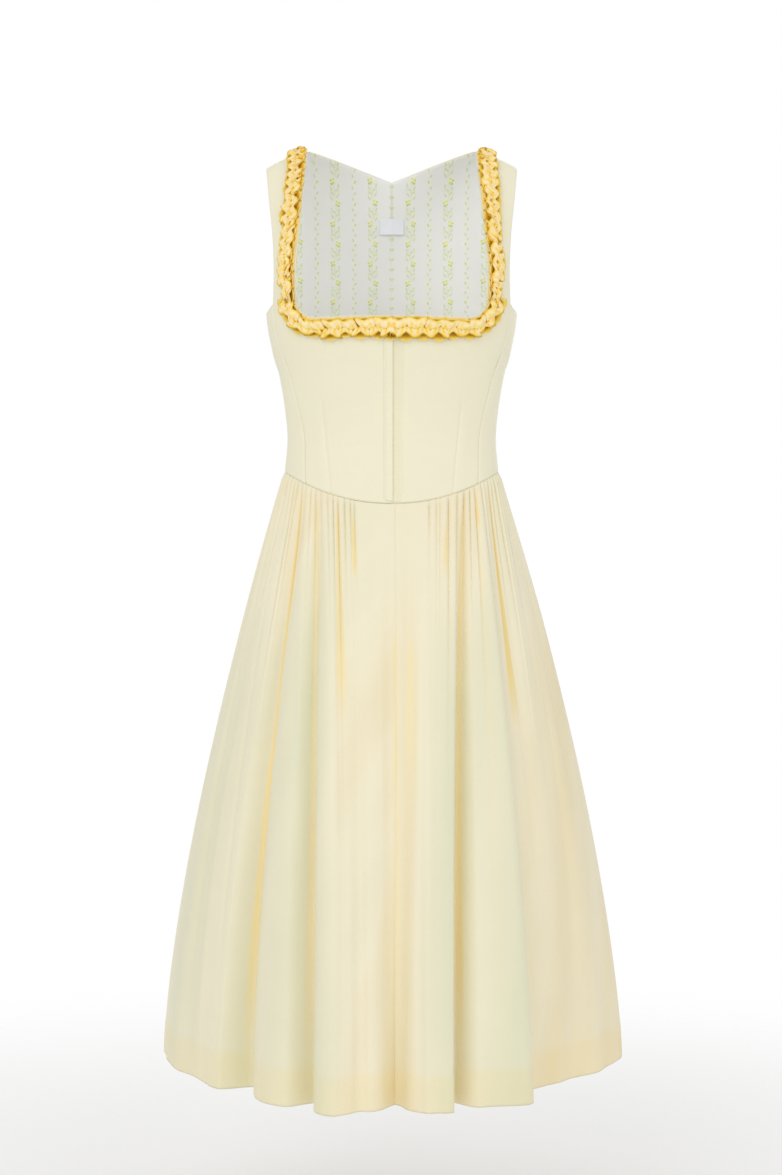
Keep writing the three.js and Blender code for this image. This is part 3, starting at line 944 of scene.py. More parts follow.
@dataclass
class Bodice:
    """The fitted bodice: two fronts with their straps, two sides, two backs and the back lining.

    Attributes:
        cloths: the finishes.
        rows: mesh rows from the waist seam to the top of a panel.
        strap_rows: mesh rows of a strap or of the upper back.
        corner_columns: mesh columns round a corner of the neckline.
        pitch: the widest mesh column, in millimetres.
        back_pitch: the same on the backs.
        strap_start: the flat place of a strap's lower left corner.
        strap_grow: the share of a strap in which it grows out of its panel's top edge.
        strap_foot: how far above and below that edge the cloth is smoothed.
        strap_long: length of a strap.
        shoulder_long: length of the upper back.
        band: how far the band beside the closure, lowered and given painted shade, reaches from the centre
            front.
        blade: how far the upper back's curve keeps each end's course, as a share of its length.
        neck_dip: how far back and how high the middle of the back neckline lies.
        arm_course: the way in which the upper back reaches the shoulder's outer end.
        neck_course: the way in which it reaches the neckline.
        front_flat: the rectangle that a front is cut from, in metres; not used.
        side_flat: the same for a side; not used.
        back_flat: the same for a back and its lining; not used.
        darts: the seam and swell of a front's dart.
        front_creases: the soft pulls on a front.
        back_creases: the dart, swell and soft pulls on a back.
    """

    cloths: Cloths
    rows: int = 84
    strap_rows: int = 64
    corner_columns: int = 14
    pitch: float = 1.9
    back_pitch: float = 2.0
    strap_start: tuple[float, float] = (130, 240)
    strap_grow: float = 0.06
    strap_foot: float = 14.0
    strap_long: float = 215.0
    shoulder_long: float = 180.0
    band: float = 12.5
    blade: float = 0.4
    neck_dip: tuple[float, float] = (62, -23)
    arm_course: tuple[float, float, float] = (0, -1, 0.12)
    neck_course: tuple[float, float, float] = (0, -0.45, 0.9)
    front_flat: tuple[float, float] = (0.19, 0.46)
    side_flat: tuple[float, float] = (0.1, 0.23)
    back_flat: tuple[float, float] = (0.24, 0.43)
    darts: tuple[Crease, ...] = (
        Crease((88, -304), (75, -440), 1.5, 1.0, open_end=True),
        Crease((94, -318), (83, -440), 6, -0.5, open_end=True),
    )
    front_creases: tuple[Crease, ...] = (
        Crease((20, -284), (70, -276), 4, 0.35),
        Crease((24, -330), (82, -322), 5, 0.3),
        Crease((18, -372), (64, -380), 4, 0.35),
        Crease((30, -405), (72, -396), 5, 0.3),
        Crease((56, -262), (104, -268), 5, 0.35),
        Crease((100, -262), (92, -300), 9, 0.7),
        Crease((40, -425), (66, -404), 4, 0.4),
    )
    back_creases: tuple[Crease, ...] = (
        Crease((56, -236), (45, -415), 1.7, 1.5, open_end=True),
        Crease((61, -250), (52, -415), 5, -0.5, open_end=True),
        Crease((20, -394), (68, -404), 4, 0.4),
        Crease((26, -362), (86, -350), 5, 0.35),
        Crease((84, -268), (112, -296), 5, 0.45),
        Crease((30, -330), (60, -338), 4, 0.3),
    )

    def build(self) -> None:
        """Builds all the panels of both sides."""
        for side in Side:
            self.front(side)
            self.side_panel(side)
            self.back(side)
            self.back_lining(side)

    @staticmethod
    def row(angle_at: Callable[[float, float], float], across: float, top: float, share: float) -> Vector:
        """A point of a panel.

        Args:
            angle_at: gives the angle of a column at a height.
            across: the column.
            top: the column's upper end.
            share: the share of the way up from the waist seam.

        Returns:
            The point, in millimetres.
        """
        low = FORM.waist_side
        for _ in range(3):
            low = FORM.waist_z(angle_at(across, low))
        z = lerp(low + SEAM_GAP, top, share)
        return FORM.point(angle_at(across, z), z)

    @staticmethod
    def armhole_z(angle: float, reach: float, end: float) -> float:
        """The height of the armhole's lower edge, level at the underarm and turning up at its ends.

        Args:
            angle: from the centre front.
            reach: the angle from the underarm to the armhole's end.
            end: the height at that end.

        Returns:
            The height.
        """
        share = clamp(abs(angle - 90) / reach)
        return UNDERARM_Z + (end - UNDERARM_Z) * (1 - math.sqrt(1 - share**2))

    def front_columns(self) -> tuple[list[float], dict[float, float], list[float]]:
        """The columns of a front along its top edge: the neckline's run, its corner and the strap's foot.

        Returns:
            The shares across the panel, each column's top height, and the strap's own shares.
        """
        run = [0.0, 0.5, 1.1, 1.9, 3.0, 4.5]
        while run[-1] + self.pitch < NECK_HALF:
            run.append(run[-1] + self.pitch)
        tops = [(x, NECK_BASE) for x in run]
        for i in range(self.corner_columns):
            turn = math.radians(90 * i / self.corner_columns)
            x = NECK_HALF + NECK_CORNER * math.sin(turn)
            tops.append((x, NECK_BASE + NECK_CORNER * (1 - math.cos(turn))))
        strap = edged_steps(STRAP_ARM - STRAP_NECK, self.pitch)
        tops += [(lerp(STRAP_NECK, STRAP_ARM, share), STRAP_Z) for share in strap]
        shares = [FORM.angle_at(x, z) / FORM.princess(z) for x, z in tops]
        return shares, {share: z for share, (_, z) in zip(shares, tops)}, strap

    def front(self, side: Side) -> None:
        """Builds a front with its shoulder strap, rolled in along its seams and pressed into its dart.

        Args:
            side: the wearer's side.
        """
        node = f"bodice_front_{side.word}"
        cloth = Cloth(f"{node}_cloth")
        columns, tops, strap = self.front_columns()

        def angle(across: float, z: float) -> float:
            """The angle of a column at height z."""
            return across * FORM.princess(z)

        def strap_spot(across: float, up: float) -> Vector:
            """A point of the strap, which starts on the panel's own top edge.

            Args:
                across: from 0 at the neck edge to 1 at the armhole.
                up: from 0 at the panel to 1 at the shoulder seam.

            Returns:
                The point, in millimetres.
            """
            first = base[strap.index(across)]
            return first.lerp(strap_point(across, up), smooth(up, 0, self.strap_grow))

        cloth.lay(columns, steps(self.rows), lambda a, s: self.row(angle, a, tops[a], s))
        base = [self.row(angle, a, STRAP_Z, 1.0) for a in columns[-len(strap) :]]
        rows = steps(self.strap_rows)
        cloth.lay(strap, rows, strap_spot, self.strap_start, mark=lambda a, up: (a, UPPER + up))
        cloth.weld()
        inner = STRAP_NECK - 5
        level = [vert for vert in cloth.mesh.verts if abs(vert.co.z / MM - STRAP_Z) < self.strap_foot]
        near = [vert for vert in level if vert.co.x / MM > inner]
        cloth.soften(near, 12)
        covered = side is Side.LEFT

        def relief(vert: bmesh.types.BMVert) -> float:
            """The seams, darts, creases, lowered band beside the closure and soft unevenness of the front.

            Args:
                vert: a vertex of the front.

            Returns:
                The way out, in millimetres.
            """
            spot = vert.co / MM
            height = 0.35 * ripple(spot, 46, (1, 1, 0.8), 3.1 * side.value)
            height += 0.12 * ripple(spot, 9, (1, 1, 1.6), 8)
            if vert[cloth.up] >= UPPER:
                up = vert[cloth.up] - UPPER
                wide = (strap_point(1, up) - strap_point(0, up)).length
                arm = (1 - vert[cloth.across]) * wide
                return height * 0.4 + roll(arm, 0.5, 1.2) + roll((1 - up) * self.strap_long, 0.6, 1.5)
            height += roll((FORM.point(FORM.princess(spot.z), spot.z) - spot).length, 1.1)
            height += sum(crease.at(spot.x, spot.z) for crease in self.darts + self.front_creases)
            height += roll(abs(spot.z - FORM.waist_z(FORM.angle_at(spot.x, spot.z))), 0.4, 1.3)
            if covered:
                height -= 0.9 * (1 - smooth(spot.x, self.band - 1, self.band + 1))
                height -= 0.35 * bell(spot.x - self.band - 1.1, 0.8)
                pucker = math.sin(spot.z * 0.72 + 2 * ripple(spot, 20, (0, 0, 1), 1))
                height += 0.18 * pucker * bell(spot.x - 7, 6)
            return height

        cloth.press(relief)
        if covered:
            # painted shade on the band beside the closure, below the neckline
            for vert in cloth.mesh.verts:
                inside = 1 - smooth(vert.co.x / MM, self.band - 2, self.band)
                vert[cloth.painted_shade_and_hem_tint] = 0.1 * inside * (vert.co.z / MM < NECK_BASE)
        cloth.turn_over(side)
        area = cloth.area()
        piece = cloth.finish((self.cloths.bodice, self.cloths.lining), CLOTH, node)

    def side_panel(self, side: Side) -> None:
        """Builds a side panel, from the princess seam to the side seam.

        Args:
            side: the wearer's side.
        """
        node = f"bodice_side_{side.word}"
        cloth = Cloth(f"{node}_cloth")
        start = FORM.princess(STRAP_Z)

        def angle(across: float, z: float) -> float:
            """The angle of a column at height z."""
            return lerp(FORM.princess(z), 90, across)

        def spot(across: float, share: float) -> Vector:
            """A point of the panel, its column's share up to the armhole."""
            top = self.armhole_z(lerp(start, 90, across), 90 - start, STRAP_Z)
            return self.row(angle, across, top, share)

        def relief(vert: bmesh.types.BMVert) -> float:
            """The rolled seams, and a few soft pulls beside the bust.

            Args:
                vert: a vertex of the panel.

            Returns:
                The way out, in millimetres.
            """
            place = vert.co / MM
            front = (FORM.point(FORM.princess(place.z), place.z) - place).length
            back = (FORM.point(90, place.z) - place).length
            height = 0.4 * ripple(place, 40, (1, 1, 0.6), 5.7 * side.value) + roll(front, 1.1) + roll(back)
            height += roll(abs(place.z - FORM.waist_z(90)), 0.4, 1.3)
            return height + 0.45 * math.sin(place.z * 0.16 + place.y * 0.1) * bell(place.z + 262, 26)

        cloth.lay(edged_steps(78, self.pitch), steps(self.rows), spot)
        cloth.press(relief)
        cloth.turn_over(side)
        area = cloth.area()
        piece = cloth.finish((self.cloths.bodice, self.cloths.lining), CLOTH, node)

    def back_grids(self, cloth: Cloth, inset: float) -> None:
        """Lays the two grids of a back: below the armhole's end, and from there to the neck.

        Their flat place is counted from the centre back, so that the print's stripes meet there.

        Args:
            cloth: the piece that they go into.
            inset: how far inside the outer face of the back they lie, in millimetres.
        """
        start = FORM.angle_at(BACK_ARM, BACK_Z, behind=True)
        under = [lerp(90, start, share) for share in edged_steps(60, self.back_pitch)[:-1]]
        upper = [lerp(0, NECK_COLUMN, share) for share in edged_steps(28, self.back_pitch)]
        inner = edged_steps(120, self.back_pitch)[len(FINE_EDGE) :]
        upper += [lerp(NECK_COLUMN, CENTRE_COLUMN, share) for share in inner]
        angles = under + [FORM.angle_at(self.back_base_x(column), BACK_Z, behind=True) for column in upper]

        def lower_spot(angle: float, share: float) -> Vector:
            """A point below the armhole's end, which keeps its angle all the way down."""
            top = self.armhole_z(angle, start - 90, BACK_Z) if angle < start else BACK_Z
            return self.row(lambda a, _: a, angle, top, share)

        cloth.lay(angles, steps(self.rows), lower_spot)
        cloth.lay(upper, steps(self.strap_rows), self.back_point, mark=lambda c, up: (c, UPPER + up))
        cloth.weld()
        cloth.press(lambda vert: -inset)
        for face in cloth.mesh.faces:
            for loop in face.loops:
                loop[cloth.uv].uv = (abs(loop.vert.co.x), loop.vert.co.z)

    @staticmethod
    def back_base_x(column: float) -> float:
        """Half width of the upper back's base.

        Args:
            column: from the armhole, 0, to the centre back.

        Returns:
            The distance from the middle plane, in millimetres.
        """
        if column <= NECK_COLUMN:
            return lerp(BACK_ARM, BACK_NECK_HALF, column / NECK_COLUMN)
        return BACK_NECK_HALF * (1 - (column - NECK_COLUMN) / (CENTRE_COLUMN - NECK_COLUMN))

    def back_point(self, column: float, up: float) -> Vector:
        """A point of the upper back, on a curve over the shoulder blade to the shoulder or the neckline.

        Args:
            column: from the armhole, 0, to the centre back.
            up: the share of the way up the curve.

        Returns:
            The point, in millimetres.
        """
        start = FORM.point(FORM.angle_at(self.back_base_x(column), BACK_Z, behind=True), BACK_Z)
        inner, outer = Vector(SHOULDER.neck), Vector(SHOULDER.arm)
        share = (column - NECK_COLUMN) / (CENTRE_COLUMN - NECK_COLUMN)
        if share <= 0:
            end = outer.lerp(inner, column / NECK_COLUMN)
        else:
            y = lerp(inner.y, self.neck_dip[0], 1 - max(1 - share, 0) ** 1.8)
            end = Vector((inner.x * (1 - share), y, lerp(inner.z, self.neck_dip[1], share**1.4)))
        arrive = Vector(self.arm_course).lerp(Vector(self.neck_course), max(share, 0)).normalized()
        reach = (end - start).length * self.blade
        second = start + Vector((0, 0.03 * reach, reach))
        third = end - arrive * reach
        s = clamp(up)
        return (1 - s) ** 3 * start + 3 * (1 - s) ** 2 * s * second + 3 * (1 - s) * s**2 * third + s**3 * end

    def back(self, side: Side) -> None:
        """Builds the outside of a back, with a dart and rolled seams.

        Args:
            side: the wearer's side.
        """
        node = f"bodice_back_{side.word}"
        cloth = Cloth(f"{node}_cloth")
        self.back_grids(cloth, 0)

        def relief(vert: bmesh.types.BMVert) -> float:
            """The seams, the dart, the soft pulls and soft unevenness of the back.

            Args:
                vert: a vertex of the back.

            Returns:
                The way out, in millimetres.
            """
            place = vert.co / MM
            height = 0.4 * ripple(place, 52, (1, 1, 0.7), 11 * side.value)
            height += 0.12 * ripple(place, 10, (1, 1, 1.5), 4)
            height += roll(place.x)
            if vert[cloth.up] >= UPPER:
                above = (UPPER + 1 - vert[cloth.up]) * self.shoulder_long
                return height + roll(above, 0.6, 1.5) * (vert[cloth.across] <= NECK_COLUMN)
            height += roll((FORM.point(90, place.z) - place).length)
            height += sum(crease.at(place.x, place.z) for crease in self.back_creases)
            return height + roll(abs(place.z - FORM.waist_z(vert[cloth.across])), 0.4, 1.3)

        cloth.press(relief)
        cloth.turn_over(side)
        area = cloth.area()
        piece = cloth.finish((self.cloths.bodice,), CLOTH, node)

    def back_lining(self, side: Side) -> None:
        """Builds one half of the printed back lining, which shows through the neck.

        Args:
            side: the wearer's side.
        """
        node = f"lining_back_{side.word}"
        cloth = Cloth(f"{node}_cloth")
        self.back_grids(cloth, LINING_DEPTH)

        def relief(vert: bmesh.types.BMVert) -> float:
            """The centre seam and soft waves of the loose lining."""
            place = vert.co / MM
            return -0.25 * (1 + ripple(place, 45, (1, 1, 0.5), 21 * side.value)) + 0.4 * bell(place.x, 1.2)

        cloth.press(relief)
        cloth.turn_over(side)
        area = cloth.area()
        piece = cloth.finish((self.cloths.lining,), LINING, node)


@dataclass
class Fly:
    """The flap along the centre front that covers the closure, with a round lower corner and its stitching.

    Attributes:
        cloths: the finishes.
        outer: its free edge, on the wearer's right of the centre front.
        inner: its sewn edge, just past the centre front.
        top: the height of its upper end, under the ruche.
        corner: radius of its outer lower corner.
        clear: how far above the waist seam it ends.
        lift: how far it lies off the bodice.
        thick: its thickness.
        stitch_in: from its free edge to its stitching.
        cut: its finished width and length, in metres; not used.
    """

    cloths: Cloths
    outer: float = -9.5
    inner: float = 1.4
    top: float = -249.0
    corner: float = 6.0
    clear: float = 3.0
    lift: float = 0.3
    thick: float = 0.9
    stitch_in: float = 2.4
    cut: tuple[float, float] = (0.011, 0.195)

    @property
    def low(self) -> float:
        """The height of its lower end."""
        return FORM.waist_z(0) + SEAM_GAP + self.clear

    def surface(self, x: float, z: float) -> Vector:
        """A point of the bodice's outer face at the centre front."""
        return FORM.point(FORM.angle_at(x, z), z)

    def spot(self, across: float, up: float) -> Vector:
        """A point of the bodice under the flap, whose outer lower corner is drawn round.

        Args:
            across: from 0 at its free edge to 1 at its sewn edge.
            up: from 0 at its lower end to 1 at the top.

        Returns:
            The point, in millimetres.
        """
        z = lerp(self.low, self.top, up)
        short = max(self.low + self.corner - z, 0) / self.corner
        first = self.outer + self.corner * (1 - math.sqrt(max(1 - short**2, 0)))
        return self.surface(lerp(first, self.inner, across), z)

    def relief(self, vert: bmesh.types.BMVert) -> float:
        """The lift off the bodice, the stitch groove and small puckers across the flap.

        Args:
            vert: a vertex of the flap.

        Returns:
            The way out, in millimetres.
        """
        place = vert.co / MM
        edge = place.x - self.outer
        height = self.lift + self.thick - 0.45 * bell(edge - self.stitch_in, 0.7)
        height -= 0.5 * bell(edge, 0.6) + 0.6 * bell(self.inner - place.x, 0.6)
        pucker = math.sin(place.z * 0.75 + 1.5 * ripple(place, 15, (0, 0, 1), 2))
        return height + 0.16 * pucker * smooth(edge, 1, 3)

    def build(self) -> None:
        """Builds the flap."""
        cloth = Cloth("front_fly_cloth")
        rows = [0.0, 0.004, 0.01, 0.018, *[0.03 + 0.97 * share for share in steps(100)]]
        cloth.lay(edged_steps(11, 0.9, (0.3, 0.7, 1.2)), rows, self.spot)
        cloth.press(self.relief)
        piece = cloth.finish((self.cloths.bodice,), self.thick - 0.1, "front_fly")


@dataclass
class Label:
    """The bare woven label on the back lining, its lower edge a little loose.

    Attributes:
        cloths: the finishes.
        half: half of its width.
        top: the height of its sewn edge.
        bottom: the height of its loose edge.
        lift: how far it lies off the lining.
        loose: how far its lower edge curls away.
        cut: its flat width and length, in metres; not used.
    """

    cloths: Cloths
    half: float = 15.5
    top: float = -65.0
    bottom: float = -85.0
    lift: float = 0.9
    loose: float = 2.0
    cut: tuple[float, float] = (0.031, 0.021)

    @staticmethod
    def up_at(bodice: Bodice, column: float, z: float) -> float:
        """Finds a height on the upper back.

        Args:
            bodice: the bodice.
            column: the column of its upper back.
            z: the height.

        Returns:
            The share of the way up the column.
        """
        low, high = 0.0, 1.0
        while high - low > 1e-4:
            middle = (low + high) / 2
            if bodice.back_point(column, middle).z < z:
                low = middle
            else:
                high = middle
        return low

    def build(self, bodice: Bodice) -> None:
        """Builds the label on the bodice's lining.

        Args:
            bodice: the bodice.
        """
        cloth = Cloth("neck_label_cloth")
        column_wide = BACK_NECK_HALF / (CENTRE_COLUMN - NECK_COLUMN)

        def spot(across: float, up: float) -> Vector:
            """A point of the back's outer face under the label, seen from inside.

            Args:
                across: the share of its width, from the wearer's left.
                up: the share of its height.

            Returns:
                The point, in millimetres.
            """
            x = lerp(self.half, -self.half, across)
            column = CENTRE_COLUMN - abs(x) / column_wide
            share = self.up_at(bodice, column, lerp(self.bottom, self.top, up))
            point = bodice.back_point(column, share)
            return Vector((x, point.y, point.z))

        def relief(vert: bmesh.types.BMVert) -> float:
            """The lift off the lining: tight at the sewn upper edge and loose at the lower one.

            Args:
                vert: a vertex of the label.

            Returns:
                The way out, in millimetres; it is negative towards the inside of the dress.
            """
            up, across = vert[cloth.up], vert[cloth.across]
            curl = self.loose * (1 - up) ** 2 * (0.6 + 0.4 * math.sin(math.pi * across))
            return -(LINING_DEPTH + LINING + self.lift + curl)

        cloth.lay(steps(16), steps(12), spot)
        cloth.press(relief)
        bmesh.ops.reverse_faces(cloth.mesh, faces=cloth.mesh.faces[:])
        piece = cloth.finish((self.cloths.label,), 0.5, "neck_label")


# Ruche


class Rank(Enum):
    """The two rows of petals in the ruche: which way each one's mouth opens from the middle of the strip."""

    INNER = -1
    OUTER = 1


@dataclass(frozen=True)
class Petal:
    """One pinched petal of the ruche: a flattened funnel from its pinch to its open mouth.

    Attributes:
        along: its place, in petals from the shoulder seam.
        rank: its row.
        size: its length and height against the usual ones.
        skew: how far its mouth leans along the strip, in petals.
        dent: how deep the middle of its upper lip is pressed in, from 0 to 1.
        open: how far its mouth gapes, from 0 to 1.
    """

    along: float
    rank: Rank
    size: float
    skew: float
    dent: float
    open: float


@dataclass
class Ruche:
    """The ruche round the neckline: a strip pinched into two staggered rows of petals, one strip each side.

    Attributes:
        cloths: the finishes.
        strap: petals of one row down a strap.
        corner: petals round a corner of the neckline.
        base: petals from there to the centre front.
        margin: how far from the neck edge the strip starts; it hangs a little over the edge.
        wide: width of the strip on the straps.
        wide_base: its width along the base of the neckline.
        narrowed: how much it is drawn in round a corner.
        lift: how far it lies off the bodice.
        rise: the height of a petal.
        half: half of a petal's width, in petals.
        around: mesh columns round a petal.
        deep: mesh rows from a petal's pinch to its mouth.
        thick: thickness of the strip.
        strip_wide: the flat width of the strip, in metres.
    """

    cloths: Cloths
    strap: int = 14
    corner: int = 3
    base: int = 5
    margin: float = -1.3
    wide: float = 29.0
    wide_base: float = 31.0
    narrowed: float = 8.5
    lift: float = 0.4
    rise: float = 7.4
    half: float = 0.66
    around: int = 28
    deep: int = 10
    thick: float = 0.6
    strip_wide: float = 0.045

    @property
    def count(self) -> int:
        """Petals of one row from the shoulder seam to the centre front."""
        return self.strap + self.corner + self.base

    def at_base(self, along: float) -> float:
        """How far a place has come from the strap, 0, to the base of the neckline, 1."""
        return smooth(along, self.strap, self.strap + 2)

    def spot(self, out: float, along: float) -> Vector:
        """A point of the neckline's border.

        Args:
            out: how far out from the neck edge.
            along: the place along the border, in petals from the shoulder seam.

        Returns:
            The point on the bodice's outer face, in millimetres.
        """
        if along < self.strap:
            up = 1 - along / self.strap
            return strap_point(out / (strap_point(0, up) - strap_point(1, up)).length, up)
        turn = math.radians(90 * clamp((along - self.strap) / self.corner))
        run = max(along - self.strap - self.corner, 0) / self.base
        x = NECK_HALF * (1 - run) + (NECK_CORNER + out) * math.cos(turn)
        z = STRAP_Z - (NECK_CORNER + out) * math.sin(turn)
        return FORM.point(FORM.angle_at(x, z), z)

    def raised(self, out: float, along: float, height: float) -> Vector:
        """A point above the border.

        Args:
            out: how far out from the neck edge.
            along: the place along the border, in petals.
            height: how far off the bodice.

        Returns:
            The point, in millimetres.
        """
        along = clamp(along, 0.02, self.count + 0.1)
        step = 0.02
        across = self.spot(out + step, along) - self.spot(out - step, along)
        down = self.spot(out, along + step) - self.spot(out, along - step)
        return self.spot(out, along) + down.cross(across).normalized() * height

    def width(self, along: float) -> float:
        """Width of the strip, which is drawn in round the corner of the neckline.

        Args:
            along: the place along the border, in petals.

        Returns:
            The width, in millimetres.
        """
        wide = lerp(self.wide, self.wide_base, smooth(along, self.strap, self.strap + self.corner))
        return wide - self.narrowed * bell(along - self.strap - 0.9, 1.7)

    def petals(self, side: Side) -> list[Petal]:
        """The petals of one side, each a little different from the next.

        Args:
            side: the wearer's side.

        Returns:
            The petals of both rows, from the shoulder seam down.
        """
        chance = random.Random(7 + side.value)
        made = []
        for i in range(2 * self.count + 1):
            along = i / 2
            rank = Rank.INNER if i % 2 else Rank.OUTER
            inner = rank is Rank.INNER
            low = self.at_base(along)
            middle = smooth(along, self.count - 2.5, self.count - 0.5)
            place = along + chance.uniform(-0.12, 0.12)
            size = chance.uniform(0.86, 1.16)
            lean = -0.75 * (1 - 0.3 * low) * (1 - middle) if inner else 0.1 * (1 - low)
            skew = lean + chance.uniform(-0.18, 0.18)
            filled = smooth(along, self.count - 1, self.count)
            dent = chance.uniform(0.35, 0.85) * (1 - 0.5 * low * inner) * (1 - filled)
            gape = chance.uniform(0.6, 0.95)
            gape_base = 0.55 if inner else chance.uniform(0.8, 1.0)
            made.append(Petal(place, rank, size, skew, dent, lerp(gape, gape_base, low)))
        return made

    def petal_height(self, petal: Petal, turn: float, reach: float) -> float:
        """How far a point of a petal stands off the bodice.

        Args:
            petal: the petal.
            turn: the angle round its funnel, in radians, 0 on the crest of the upper lip.
            reach: from 0 at the pinch to 1 at the mouth.

        Returns:
            The height, in millimetres.
        """
        upper, lower, beside = max(math.cos(turn), 0), max(-math.cos(turn), 0), math.sin(turn)
        first = lerp(0.85, 0.35, smooth(petal.along, 0.2, 1.4))
        swell = first + (1 - first) * math.sin(math.pi / 2 * clamp(reach / 0.5))
        closing = 0.75 if petal.rank is Rank.INNER else 0.4
        swell *= 1 - closing * smooth(reach, 0.6, 1) * (1 - petal.open)
        dent = 1 - petal.dent * bell(beside - 0.2 * petal.skew, 0.26) * smooth(reach, 0, 0.5)
        height = self.lift + 0.5 + self.rise * petal.size * upper**0.6 * swell * dent
        height += 4.2 * petal.open * lower * reach**5
        crease = lerp(0.8, 1.3, self.at_base(petal.along))
        height += crease * math.cos(6 * turn) * upper**0.5 * smooth(reach, 0, 0.4)
        crumple = Vector((petal.along * 3.1, turn * 1.7, reach * 3.4))
        height += 1.4 * noise.noise(crumple) * upper**0.5 * smooth(reach, 0, 0.3)
        return max(height, self.lift + 0.3)

    def petal_spot(self, petal: Petal, turn: float, reach: float) -> Vector:
        """A point of a petal.

        Args:
            petal: the petal.
            turn: the angle round its funnel, in radians, 0 on the crest of the upper lip.
            reach: from 0 at the pinch to 1 at the mouth.

        Returns:
            The point, in millimetres.
        """
        way = petal.rank.value
        wide = self.width(petal.along)
        upper, lower, beside = max(math.cos(turn), 0), max(-math.cos(turn), 0), math.sin(turn)
        spread = 0.42 + 0.58 * math.sin(math.pi / 2 * reach) ** 0.8
        along = petal.along + way * self.half * petal.size * beside * spread * (1 - 0.22 * lower)
        along += petal.skew * reach
        pinch = self.margin + wide * (0.5 - 0.11 * way)
        length = wide * 0.57 * petal.size
        lip = 1 - petal.open * upper**0.5 * (0.18 + 0.42 * bell(beside, 0.42))
        lip -= 0.25 * (1 - petal.open) * lower
        out = pinch + way * length * reach * (lip - (0.14 + 0.34 * lower) * beside**2)
        return self.raised(out, along, self.petal_height(petal, turn, reach))

    def build(self) -> None:
        """Builds both strips with their petals."""
        for side in Side:
            node = f"ruche_{side.word}"
            cloth = Cloth(f"{node}_cloth")
            self.strip(cloth)
            for petal in self.petals(side):
                self.petal(cloth, petal)
            cloth.turn_over(side)
            flat = (self.strip_wide, round(cloth.area() / self.strip_wide, 2))
            # the petals' inner faces take the painted-shade copy of the taffeta
            both = (self.cloths.ruche, self.cloths.ruche_inside)
            piece = cloth.finish(both, self.thick, node)
            piece.modifiers["wall"].material_offset_rim = 0

    def strip(self, cloth: Cloth) -> None:
        """Adds the middle of the strip, which lies on the bodice between the petals, with painted shade that
        is darkest along its middle.

        Args:
            cloth: the ruche in the making.
        """

        def spot(share: float, down: float) -> Vector:
            """A point of the strip's middle, a share of the way across it."""
            out = max(self.margin + self.width(-down) * lerp(0.08, 0.84, share), 0.8)
            return self.raised(out, -down, self.lift + 0.6)

        downs = [-i / 4 for i in range(4 * self.count, -1, -1)]
        for vert in cloth.lay(steps(5), downs, spot):
            # painted shade of the petals over the strip
            vert[cloth.painted_shade_and_hem_tint] = lerp(0.15, 0.85, math.sin(math.pi * vert[cloth.across]) ** 0.7)

    def petal(self, cloth: Cloth, petal: Petal) -> None:
        """Adds one petal: a grid wrapped round into its funnel and closed along its back, with painted shade
        and light.

        Args:
            cloth: the ruche in the making.
            petal: the petal.
        """
        turns = [lerp(-math.pi, math.pi, share) for share in steps(self.around)]
        start = (17.0 * petal.along, 40.0 * petal.rank.value)

        def spot(turn: float, reach: float) -> Vector:
            """A point of the petal."""
            return self.petal_spot(petal, turn, reach)

        made = cloth.lay(turns, steps(self.deep), spot, start)
        low = self.at_base(petal.along) * (petal.rank is Rank.OUTER)
        # painted shade at the pinch, the dent's slit, the flanks and the fan's creases, and painted yellow
        # light along the rim of the mouth
        for vert in made:
            reach, turn = vert[cloth.up], vert[cloth.across]
            upper, beside = max(math.cos(turn), 0), math.sin(turn)
            slit = petal.dent * bell(beside - 0.2 * petal.skew, 0.17) * (1 - smooth(reach, 0.5, 0.9))
            flank = bell(upper, 0.32) * (1 - smooth(reach, 0.9, 1))
            pinch = 1 - smooth(reach, 0.05, 0.34)
            fan = max(-math.cos(6 * turn), 0) ** 2 * upper**0.5 * (1 - smooth(reach, 0.5, 0.95))
            rim = smooth(reach, lerp(0.84, 0.72, low), lerp(0.94, 0.9, low))
            shade = 0.95 * pinch + 0.7 * slit + 0.75 * flank + lerp(0.5, 0.75, low) * fan
            vert[cloth.painted_shade_and_hem_tint] = clamp(shade + lerp(0.6, 0.74, low) * rim)
            # painted shade inside the lower lip, fading towards its mouth
            if math.cos(turn) < -0.1:
                vert[cloth.painted_shade_and_hem_tint] = 0.9 * (1 - smooth(reach, 0.66, 0.96))
        bmesh.ops.remove_doubles(cloth.mesh, verts=made, dist=0.01 * MM)


# Skirt


@dataclass(frozen=True)
class Fold:
    """One line of the skirt's folds.

    Attributes:
        waist: its angle at the waist seam.
        hem: its angle at the hem.
        out: how far it stands out from the plain bell at the hem, in millimetres.
        rise: how early it shows on its way down; a small rise shows early.
        steep: where the step to the next line lies: at 1 it is even, under 1 it is a steep wall beside this
            line, and over 1 one beside the next.
    """

    waist: float
    hem: float
    out: float
    rise: float
    steep: float = 1.0


